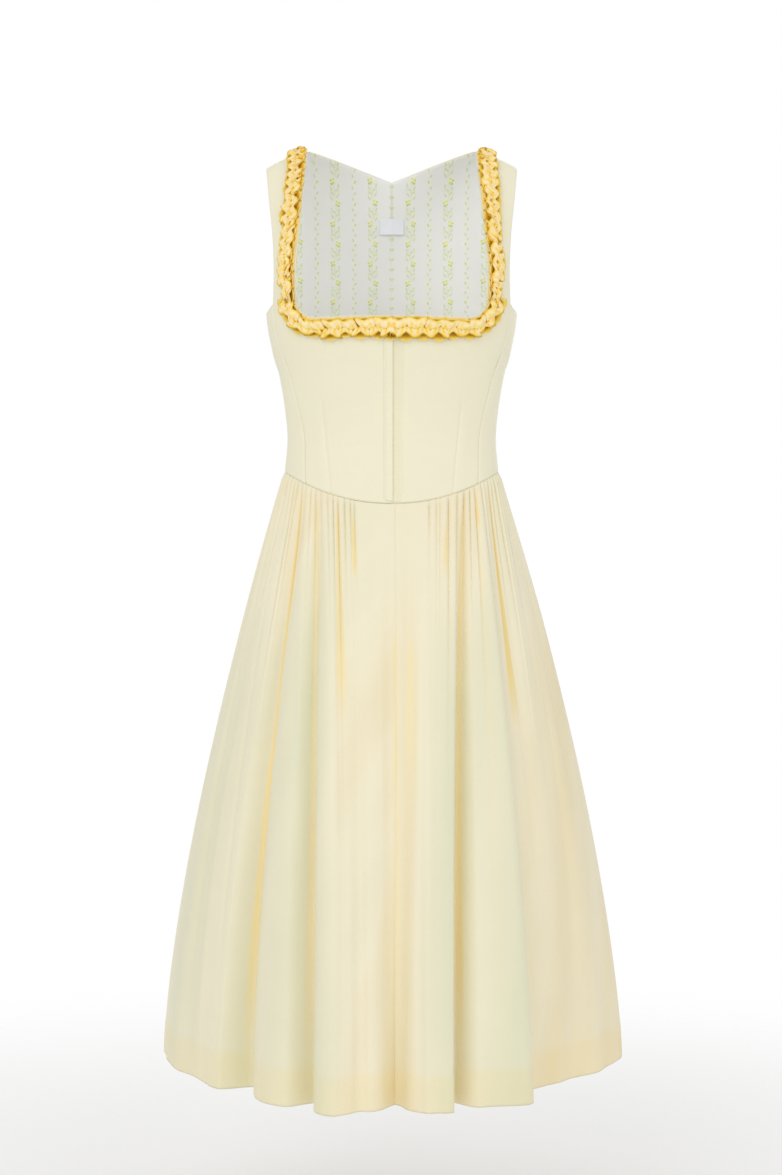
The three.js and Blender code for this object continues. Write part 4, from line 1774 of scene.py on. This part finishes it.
FOLDS = (
    Fold(-90, -88, -4, 1),
    Fold(-72, -62, -21, 1),
    Fold(-61, -49, -13, 0.6),
    Fold(-54, -43.5, -47, 0.6, 0.6),
    Fold(-47.5, -25, 5, 0.8),
    Fold(-41, -19, -20, 0.5, 0.4),
    Fold(-35, -12, 28, 0.9),
    Fold(-18.5, -6, 4, 1, 1.8),
    Fold(1.5, 0.8, -26, 1.4, 0.8),
    Fold(18.5, 8, 14, 1),
    Fold(32, 13, 15, 0.9, 1.3),
    Fold(38.5, 16, -26, 0.5),
    Fold(45, 20.5, 2, 0.8),
    Fold(51, 31.5, 14, 1, 0.85),
    Fold(60, 43, -40, 0.8),
    Fold(72, 57, -38, 1.2),
    Fold(82, 73, -17, 1),
    Fold(90, 92, 5, 1),
    Fold(97, 101, 12, 1),
    Fold(106, 112, -22, 0.7),
    Fold(115, 122, 8, 0.9),
    Fold(122, 130, -26, 0.6),
    Fold(133, 140, 12, 1),
    Fold(140, 148, -20, 0.7),
    Fold(150, 157, 15, 0.9),
    Fold(159, 165, -24, 0.6),
    Fold(169, 173, 10, 0.9),
    Fold(180, 181, -14, 0.8),
    Fold(190, 188, 14, 0.9),
    Fold(199, 196, -22, 0.6),
    Fold(209, 204, 10, 1),
    Fold(217, 211, -26, 0.7),
    Fold(228, 221, 14, 0.9),
    Fold(236, 230, -18, 0.6),
    Fold(246, 240, 10, 1),
    Fold(255, 250, -24, 0.7),
    Fold(263, 260, 8, 0.9),
    Fold(270, 272, -4, 1),
)


@dataclass(frozen=True)
class Valley:
    """A deep fold of the skirt in which the cloth glows gold.

    Attributes:
        waist: the angle of its line at the waist seam.
        start: how far below the waist seam it begins, in millimetres.
        end: how far below the waist seam it fades.
        width: half width of the painted gold at its top, in millimetres.
        width_low: half width at its lower end.
        glow: the strength of its painted gold light, from 0 to 1.
        sharp: the side on which a ridge cuts it off: -1 smaller angles, 1 larger ones, 0 none.
    """

    waist: float
    start: float
    end: float
    width: float
    width_low: float
    glow: float
    sharp: int = 0


VALLEYS = (
    Valley(-54, 0, 760, 1.8, 15, 0.46, 1),
    Valley(-41, 8, 760, 4.5, 17, 0.22, 1),
    Valley(-28, 0, 300, 2.6, 8, 0.32),
    Valley(-19, 5, 110, 1.8, 3, 0.4),
    Valley(1.5, 150, 700, 4, 10, 0.18, -1),
    Valley(9, 160, 420, 3, 7, 0.22),
    Valley(27.5, 20, 110, 1.8, 3, 0.35),
    Valley(38.5, 12, 760, 2, 19, 0.37, -1),
    Valley(48, -5, 60, 1.8, 3, 0.4),
    Valley(60, 0, 330, 2, 14, 0.55, -1),
    Valley(106, 20, 700, 2.4, 8, 0.45, 1),
    Valley(122, 10, 700, 2.4, 8, 0.55, -1),
    Valley(140, 10, 420, 2.4, 6, 0.45),
    Valley(159, 20, 700, 2.4, 8, 0.5, 1),
    Valley(199, 20, 700, 2.4, 8, 0.5, -1),
    Valley(217, 10, 500, 2.4, 7, 0.5),
    Valley(236, 10, 300, 2.4, 6, 0.45, 1),
    Valley(255, 20, 700, 2.4, 8, 0.55, -1),
)


@dataclass(frozen=True)
class Tone:
    """The shade of the skirt's satin along one line.

    Attributes:
        waist: the waist angle of the line.
        shade: from -1, cool, to 1, warm.
    """

    waist: float
    shade: float


TONES = (
    Tone(-90, -0.3),
    Tone(-74, -0.5),
    Tone(-60, -0.5),
    Tone(-51, -0.3),
    Tone(-46, -0.7),
    Tone(-38, -0.5),
    Tone(-29, 0.1),
    Tone(-12, 0.1),
    Tone(0, 0.4),
    Tone(9, 0.7),
    Tone(17, -0.1),
    Tone(30, -0.8),
    Tone(42, -0.5),
    Tone(50, -0.7),
    Tone(57, 0.4),
    Tone(66, 0.4),
    Tone(80, 0.5),
    Tone(90, 0.5),
    Tone(112, 0.2),
    Tone(130, -0.6),
    Tone(150, 0.4),
    Tone(172, -0.3),
    Tone(190, 0.4),
    Tone(210, -0.6),
    Tone(232, 0.3),
    Tone(252, -0.2),
    Tone(270, -0.3),
)


@dataclass(frozen=True)
class Gather:
    """One gather at the waist.

    Attributes:
        start: the waist angle of its first edge.
        end: the waist angle of its second edge.
        high: its height.
        long: how far down it fades.
        glow: how much painted gold light its troughs take, from 0 to 1.
    """

    start: float
    end: float
    high: float
    long: float
    glow: float


GATHER_COLUMNS = (0.0, 0.1, 0.22, 0.38, 0.5, 0.62, 0.78, 0.9)  # shares across a gather, closer in its troughs


@dataclass
class Skirt:
    """The gathered skirt: two front and two back panels, a flat stretch at the centre front and a deep hem.

    Attributes:
        cloths: the finishes.
        fall: its length at the side seams, from the waist seam to the hem.
        flat_half: the waist angle at which the flat stretch ends, each side of the centre front.
        hem_z: the height of the hem.
        hem_wide: half width at the hem, before its folds.
        hem_front: depth at the hem ahead of the middle.
        hem_back: depth at the hem behind the middle.
        flare: how late it widens on its way down.
        centre_front: the waist angle of the centre front seam.
        pitch: the mean width of a gather, in degrees at the waist.
        gather_high: the mean height of a gather.
        hem_deep: how deep the hem is turned up.
        allowance: how far a panel reaches under the next, in degrees.
        tuck_in: how far behind the bodice the upper edge is tucked.
        tuck_up: how far up it is tucked.
        row_steps: the longest mesh row down to each distance below the waist seam.
        flat: the rectangle that a panel is cut from, in metres; not used.
        pulls: soft folds between the main ones; their first measure is 2.4 times the waist angle.
        gathers: the gathers once round.
    """

    cloths: Cloths
    fall: float = 740.0
    flat_half: float = 18.5
    hem_z: float = -1145.0
    hem_wide: float = 288.0
    hem_front: float = 258.0
    hem_back: float = 252.0
    flare: float = 1.5
    centre_front: float = 1.5
    pitch: float = 3.7
    gather_high: float = 2.0
    hem_deep: float = 45.0
    allowance: float = 0.4
    tuck_in: float = 1.7
    tuck_up: float = 3.0
    row_steps: tuple[tuple[float, float], ...] = ((12, 1.5), (60, 3.5), (200, 6), (760, 9))
    flat: tuple[float, float] = (0.47, 0.77)
    pulls: tuple[Crease, ...] = (
        Crease((-188, 120), (-184, 700), 2.2, 2.2),
        Crease((-160, 90), (-152, 640), 2.0, 1.8),
        Crease((-174, 300), (-171, 740), 5, -2.0),
        Crease((-118, 150), (-110, 500), 2.2, 1.2),
        Crease((150, 130), (154, 520), 3.0, 1.6),
        Crease((186, 200), (180, 700), 4.0, 2.0),
        Crease((200, 60), (196, 420), 2.2, 1.5),
        Crease((266, 90), (262, 600), 2.4, 1.8),
        Crease((330, 140), (336, 700), 3.0, 1.8),
        Crease((415, 100), (410, 560), 2.2, 1.6),
        Crease((500, 90), (506, 640), 3.0, 1.8),
        Crease((590, 120), (584, 520), 2.4, 1.6),
    )
    gathers: list[Gather] = field(default_factory=list)

    def build(self) -> None:
        """Builds the four panels."""
        self.gathers = self.plan_gathers()
        self.panel("skirt_front_right", -90, self.centre_front)
        self.panel("skirt_front_left", self.centre_front, 90)
        self.panel("skirt_back_left", 90, 180)
        self.panel("skirt_back_right", 180, 270)

    def plan_gathers(self) -> list[Gather]:
        """The gathers once round, each with its own width, height and length.

        Returns:
            The gathers in the order of their waist angles, none of them on the flat stretch.
        """
        chance = random.Random(12)
        made = []
        at = -90.0
        while at < 270:
            if -self.flat_half - 0.5 < at < self.flat_half - 0.5:
                at = self.flat_half
            stop = -self.flat_half if at < -self.flat_half else 270
            end = min(at + self.pitch * chance.uniform(0.5, 1.6), stop)
            if stop - end < 1.5:
                end = stop
            long = chance.choice((35, 60, 90, 140, 220)) * chance.uniform(0.8, 1.2)
            glow = chance.choice((0.05, 0.15, 0.25, 0.4))
            made.append(Gather(at, end, self.gather_high * chance.uniform(0.4, 1.45), long, glow))
            at = end
        return made

    def gather_at(self, angle: float) -> tuple[Gather | None, float]:
        """The gather at a waist angle.

        Args:
            angle: the waist angle.

        Returns:
            The gather and the share of the way across it, or None where the cloth is flat.
        """
        i = bisect_right([gather.start for gather in self.gathers], angle) - 1
        gather = self.gathers[max(i, 0)]
        if angle > gather.end + 1e-6:
            return None, 0.0
        return gather, clamp((angle - gather.start) / (gather.end - gather.start))

    @staticmethod
    def place_of(angle: float) -> float:
        """The place among the folds of a waist angle, counted in rows of FOLDS."""
        i = clamp(bisect_right([fold.waist for fold in FOLDS], angle) - 1, 0, len(FOLDS) - 2)
        return i + (angle - FOLDS[i].waist) / (FOLDS[i + 1].waist - FOLDS[i].waist)

    def spot(self, place: float, height: float) -> Vector:
        """A point of the skirt without its gathers.

        Args:
            place: the place among the folds, counted in rows of FOLDS.
            height: the share of its height, from 0 at the hem to 1 at the waist seam.

        Returns:
            The point, in millimetres.
        """
        i = int(clamp(math.floor(place), 0, len(FOLDS) - 2))
        share = place - i
        a, b = FOLDS[i], FOLDS[i + 1]
        angle = lerp(a.waist, b.waist, share)
        seam = FORM.point(angle, FORM.waist_z(angle))
        turn = math.radians(lerp(a.hem, b.hem, share))
        depth = self.hem_front if math.cos(turn) > 0 else self.hem_back
        hem = Vector((self.hem_wide * math.sin(turn), -depth * math.cos(turn), self.hem_z))
        outward = Vector((hem.x, hem.y, 0)).normalized()
        down = 1 - height
        point = seam.lerp(hem, 1 - max(height, 0) ** self.flare)
        point.z = lerp(seam.z, self.hem_z, down)
        ease = (1 - math.cos(math.pi * clamp(share) ** lerp(1, a.steep, smooth(down, 0, 0.3)))) / 2
        out = lerp(a.out * max(down, 0) ** a.rise, b.out * max(down, 0) ** b.rise, ease)
        return point + outward * out

    def columns(self, first: float, last: float) -> list[float]:
        """The waist angles of a panel's mesh columns, finer in the troughs of the gathers.

        Args:
            first: the waist angle of the panel's first edge.
            last: the waist angle of its last edge.

        Returns:
            The angles, from under the neighbour at the first edge to the last edge.
        """
        angles = {lerp(-self.flat_half, self.flat_half, share) for share in steps(44)}
        for gather in self.gathers:
            angles |= {lerp(gather.start, gather.end, share) for share in GATHER_COLUMNS}
        inner = sorted(angle for angle in angles if first + 0.8 < angle < last - 0.8)
        begun = [first - self.allowance, first, first + 0.25, first + 0.6]
        return [*begun, *inner, last - 0.6, last - 0.25, last]

    @staticmethod
    def tone_at(angle: float) -> float:
        """The satin's shade.

        Args:
            angle: the waist angle.

        Returns:
            The tone, from -1, cool, to 1, warm.
        """
        i = int(clamp(bisect_right([tone.waist for tone in TONES], angle) - 1, 0, len(TONES) - 2))
        low, high = TONES[i], TONES[i + 1]
        return lerp(low.shade, high.shade, smooth(angle, low.waist, high.waist))

    def heights(self) -> list[float]:
        """The heights of the mesh rows.

        Returns:
            The shares of the skirt's height from the hem up; the last two are tucked behind the bodice.
        """
        total = FORM.waist_side - self.hem_z
        drops = [0.0]
        for limit, step in self.row_steps:
            while drops[-1] + step < min(limit, total):
                drops.append(drops[-1] + step)
        drops = [-self.tuck_up, -0.1] + [drop for drop in drops if drop < total - 1] + [total]
        return [1 - drop / total for drop in reversed(drops)]

    @staticmethod
    def valley_glow(valley: Valley, angle: float, drop: float, near: float) -> float:
        """The painted gold light of a valley at a place.

        Args:
            valley: the valley.
            angle: the place's waist angle.
            drop: how far it lies below the waist seam.
            near: its distance from the valley's line.

        Returns:
            The painted glow, from 0 to 1.
        """
        width = lerp(valley.width, valley.width_low, clamp(drop / valley.end) ** 1.9)
        if (angle - valley.waist) * valley.sharp > 0:
            width *= 0.3
        soft = 1.2 if valley.sharp else 1.5
        shine = lerp(1.25, 0.9, clamp(drop / 500)) * (1 - smooth(near, (2 - soft) * width, soft * width))
        window = smooth(drop, valley.start, valley.start + 40)
        return valley.glow * shine * window * (1 - smooth(drop, valley.end * 0.7, valley.end))

    def panel(self, node: str, first: float, last: float) -> None:
        """Builds one panel, between two waist angles.

        Args:
            node: the construction node that it stands for.
            first: the waist angle of its first edge.
            last: the waist angle of its last edge.
        """
        cloth = Cloth(f"{node}_cloth")
        heights = self.heights()
        places = {angle: self.place_of(angle) for angle in self.columns(first, last)}
        lines = {
            valley: {height: self.spot(self.place_of(valley.waist), height) for height in heights}
            for valley in VALLEYS
            if first - 5 < valley.waist < last + 5
        }

        def spot(angle: float, height: float) -> Vector:
            """A point of the panel, a seam gap below the waist seam, or of its edge tucked behind the bodice.

            Args:
                angle: the waist angle of its column.
                height: the share of the skirt's height; past 1 it is tucked in.

            Returns:
                The point, in millimetres.
            """
            point = self.spot(places[angle], min(height, 1.0))
            inward = -Vector((point.x, point.y, 0)).normalized()
            if angle < first:
                point += inward * UNDERLAP
            if height == 1:
                point.z -= SEAM_GAP
            elif height > 1:
                point += inward * self.tuck_in
                point.z += (height - 1) * (FORM.waist_side - self.hem_z)
            return point

        for vert in cloth.lay(list(places), heights, spot):
            angle = min(places, key=lambda a: abs(a - vert[cloth.across]))
            height = min(heights, key=lambda h: abs(h - vert[cloth.up]))
            drop = (1 - vert[cloth.up]) * self.fall
            # painted gold light in the valleys and in the gathers' troughs
            glow = 0.0
            for valley, line in lines.items():
                near = (vert.co / MM - line[height]).length
                glow = max(glow, self.valley_glow(valley, angle, drop, near))
            gather, share = self.gather_at(angle)
            if gather:
                trough = abs(2 * share - 1) ** 3
                glow = max(glow, gather.glow * trough * smooth(drop, 4, 25) * math.exp(-drop / gather.long))
            # the painted gold light, and on the turned-up hem at least a slight even tint towards the deep
            # colour
            vert[cloth.painted_shade_and_hem_tint] = max(glow, 0.12 * (vert.co.z / MM < self.hem_z + self.hem_deep))
            vert[cloth.tone] = self.tone_at(angle) * smooth(drop, 40, 280) * (1 - clamp(glow / 0.3))

        def relief(vert: bmesh.types.BMVert) -> float:
            """The gathers, the seams, the hem and soft folds of the cloth.

            Args:
                vert: a vertex of the panel.

            Returns:
                The way out, in millimetres.
            """
            angle, height = max(vert[cloth.across], first), vert[cloth.up]
            if height > 1:
                return 0.0
            place = vert.co / MM
            drop = (1 - height) * self.fall
            total = 0.0
            gather, share = self.gather_at(angle)
            if gather:
                wave = 2 * math.sin(math.pi * share) ** 0.7 - 1
                fade = math.exp(-((drop / gather.long) ** 1.4)) * lerp(0.3, 1, smooth(drop, 0, 9))
                total += gather.high * wave * fade
            soft = Vector((math.radians(angle) * 9, height * 1.3, 4.2))
            total += 3.2 * noise.noise(soft) * smooth(drop, 10, 200)
            fine = Vector((math.radians(angle) * 26, height * 2.2, 9.4))
            total += 0.9 * noise.noise(fine) * smooth(drop, 20, 120) * (1 - 0.8 * smooth(drop, 150, 420))
            total += sum(pull.at(angle * 2.4, drop) for pull in self.pulls)
            for edge in (first, last):
                total += roll((place - self.spot(self.place_of(edge), height)).length, 0.7, 1.4)
            above = place.z - self.hem_z
            total += 0.35 * (1 - smooth(above, self.hem_deep - 1, self.hem_deep + 1))
            return total - 0.45 * bell(above - self.hem_deep, 2.2)

        cloth.press(relief)
        piece = cloth.finish((self.cloths.skirt,), CLOTH, node)


# Sewing


@dataclass
class Stitching:
    """The stitches that show: beside the closure, on its flap and down the centre of the back lining.

    Attributes:
        cloths: the finishes.
        length: of a stitch.
        gap: from one stitch to the next.
        thick: thickness of the thread.
        beside: how far the row beside the closure lies from the centre front.
        row_start: how far below the flap's top both rows start.
        row_end: how far below it the row beside the closure ends.
        zigzags: stitches down the lining's centre seam.
        zigzag_half: half width of that seam's zigzag.
        zigzag_ends: where it starts and ends, as shares of the way up the upper back.
    """

    cloths: Cloths
    length: float = 2.4
    gap: float = 1.0
    thick: float = 0.45
    beside: float = 13.7
    row_start: float = 4.0
    row_end: float = 190.0
    zigzags: int = 22
    zigzag_half: float = 2.6
    zigzag_ends: tuple[float, float] = (0.99, 0.72)

    def stitch(self, mesh: bmesh.types.BMesh, start: Vector, end: Vector) -> None:
        """Adds one stitch, a short bead of thread.

        Args:
            mesh: the mesh in the making.
            start: one end, in millimetres.
            end: the other end.
        """
        made = bmesh.ops.create_icosphere(mesh, subdivisions=1, radius=0.5)["verts"]
        run = end - start
        bmesh.ops.scale(mesh, vec=(self.thick * MM, self.thick * MM, run.length * MM), verts=made)
        turn = Vector((0, 0, 1)).rotation_difference(run).to_matrix()
        bmesh.ops.rotate(mesh, cent=(0, 0, 0), matrix=turn, verts=made)
        bmesh.ops.translate(mesh, vec=(start + end) / 2 * MM, verts=made)

    def run(self, mesh: bmesh.types.BMesh, path: Callable[[float], Vector], end: float) -> None:
        """Adds a row of stitches along a path.

        Args:
            mesh: the mesh in the making.
            path: gives a point of the path at a length along it, in millimetres.
            end: the length at which the row ends.
        """
        at = self.row_start
        while at + self.length < end:
            self.stitch(mesh, path(at), path(at + self.length))
            at += self.length + self.gap

    def front(self, fly: Fly) -> None:
        """Builds the row on the flap and the row beside the closure.

        Args:
            fly: the flap.
        """
        mesh = self.blank()
        turn_z = fly.low + fly.corner
        radius = fly.corner - fly.stitch_in

        def flap(at: float) -> Vector:
            """Down the flap's outer edge and round its lower corner.

            Args:
                at: the length from the flap's top.

            Returns:
                The point on the flap, in millimetres.
            """
            x, z = fly.outer + fly.stitch_in, fly.top - at
            if z < turn_z:
                turn = (turn_z - z) / radius
                round_it = min(turn, math.pi / 2)
                x += radius * (1 - math.cos(round_it)) + radius * (turn - round_it)
                z = turn_z - radius * math.sin(round_it)
            return fly.surface(x, z) + Vector((0, -(fly.lift + fly.thick - 0.2), 0))

        self.run(mesh, flap, fly.top - turn_z + 2 * fly.corner)
        self.run(mesh, lambda at: fly.surface(self.beside, fly.top - at) + Vector((0, 0.25, 0)), self.row_end)
        smooth_piece(mesh, "stitching_front", (self.cloths.thread,))

    def back_seam(self, bodice: Bodice) -> None:
        """Builds the zigzag down the centre seam of the back lining.

        Args:
            bodice: the bodice.
        """
        mesh = self.blank()
        lift = -(LINING_DEPTH + LINING + 0.25)
        spots = []
        for i, share in enumerate(steps(self.zigzags)):
            seam = bodice.back_point(CENTRE_COLUMN, lerp(*self.zigzag_ends, share))
            spots.append(seam + Vector((-self.zigzag_half if i % 2 else self.zigzag_half, lift, 0)))
        for start, end in zip(spots, spots[1:]):
            self.stitch(mesh, start, end)
        smooth_piece(mesh, "stitching_back_seam", (self.cloths.thread,))

    @staticmethod
    def blank() -> bmesh.types.BMesh:
        """An empty mesh with the flat place that the thread's weave reads.

        Returns:
            The mesh.
        """
        mesh = bmesh.new()
        mesh.loops.layers.uv.new("cloth")
        return mesh

    def build(self, fly: Fly, bodice: Bodice) -> None:
        """Builds all the stitches as two pieces."""
        self.front(fly)
        self.back_seam(bodice)


# Studio


@dataclass
class Studio:
    """A pale floor, soft light and the camera of the photograph.

    Attributes:
        lens: the camera's focal length, on a sensor 36 mm across.
        camera_place: its place, in metres.
        floor_z: the height of the floor, below the hanging dress.
        floor_reach: its radius.
        surround: how strongly the white surround lights the dress; the camera sees it at full white.
    """

    lens: float = 59.1
    camera_place: tuple[float, float, float] = (-0.0009, -2.45, -0.55)
    floor_z: float = -1.4
    floor_reach: float = 1.9
    surround: float = 0.76

    def build(self) -> None:
        """Makes the camera, the lights and the floor."""
        self.camera()
        self.lights()
        self.floor()

    def camera(self) -> None:
        """A level camera straight in front of the dress."""
        data = bpy.data.cameras.new("camera")
        data.lens = self.lens
        data.sensor_width = 36
        camera = link("camera", data)
        camera.location = self.camera_place
        camera.rotation_euler = (math.radians(90), 0, 0)
        bpy.context.scene.camera = camera

    def light(self, name: str, place: tuple[float, float, float], size: float, power: float) -> None:
        """Adds a soft square light that faces the middle of the dress.

        Args:
            name: the light's name.
            place: where it stands, in metres.
            size: the length of its sides, in metres.
            power: its power, in watts.
        """
        data = bpy.data.lights.new(name, "AREA")
        data.size = size
        data.energy = power
        light = link(name, data)
        light.location = place
        aim = Vector((0, 0, self.camera_place[2])) - Vector(place)
        light.rotation_euler = aim.to_track_quat("-Z", "Y").to_euler()

    def lights(self) -> None:
        """A large key in front, a fill beside it, a light behind and above, and a white surround."""
        self.light("key", (-1.4, -3.1, 0.9), 2.2, 24)
        self.light("fill", (2.2, -2.6, 0.0), 2.0, 10)
        self.light("back", (0.5, 3.4, 1.0), 2.5, 26)
        world = bpy.data.worlds.new("surround")
        bpy.context.scene.world = world
        tree = blank_tree(world)
        seen = add(tree, "LightPath").outputs["Is Camera Ray"]
        strength = add(tree, "MapRange", {"To Min": self.surround, "To Max": 1.0}, {"Value": seen})
        shader = add(tree, "Background", {"Color": (1, 1, 1, 1)}, {"Strength": strength.outputs[0]})
        add(tree, "OutputWorld", links={"Surface": shader.outputs[0]})

    @staticmethod
    def floor_material() -> bpy.types.Material:
        """Makes the floor's matt white paint, which fades out towards its edge.

        Returns:
            The material.
        """
        material = bpy.data.materials.new("matt_white_floor")
        tree = blank_tree(material)
        place = add(tree, "TexCoord").outputs["Object"]
        grain = add(tree, "TexNoise", {"Scale": 3.0, "Detail": 2.0}, {"Vector": place})
        tone = add(tree, "MapRange", {"To Min": 0.93, "To Max": 0.96}, {"Value": grain.outputs["Fac"]})
        paint = add(tree, "BsdfDiffuse", links={"Color": tone.outputs[0]}).outputs[0]
        clear = add(tree, "BsdfTransparent").outputs[0]
        reach = add(tree, "VectorMath", {"operation": "LENGTH", 1: (0, 0, 0)}, {0: place})
        edge = {"interpolation_type": "SMOOTHSTEP", "From Min": 1.45, "From Max": 2.3}
        fade = add(tree, "MapRange", edge, {"Value": reach.outputs["Value"]})
        both = add(tree, "MixShader", links={0: fade.outputs[0], 1: paint, 2: clear})
        add(tree, "OutputMaterial", links={"Surface": both.outputs[0]})
        return material

    def floor(self) -> None:
        """A pale floor that fades into the white surround."""
        mesh = bmesh.new()
        bmesh.ops.create_circle(mesh, cap_ends=True, segments=96, radius=self.floor_reach)
        bmesh.ops.translate(mesh, vec=(0, 0, self.floor_z), verts=mesh.verts[:])
        data = bpy.data.meshes.new("floor")
        mesh.to_mesh(data)
        mesh.free()
        data.materials.append(self.floor_material())
        link("floor", data)


def main() -> None:
    """Builds the studio and every piece of the dress, in order."""
    logging.basicConfig(level=logging.INFO, format="%(name)s %(message)s")
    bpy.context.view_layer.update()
    bpy.context.scene.view_settings.view_transform = "Standard"
    Studio().build()
    cloths = Cloths()
    bodice = Bodice(cloths)
    bodice.build()
    fly = Fly(cloths)
    fly.build()
    Label(cloths).build(bodice)
    Ruche(cloths).build()
    Skirt(cloths).build()
    Stitching(cloths).build(fly, bodice)


if __name__ == "__main__":
    main()
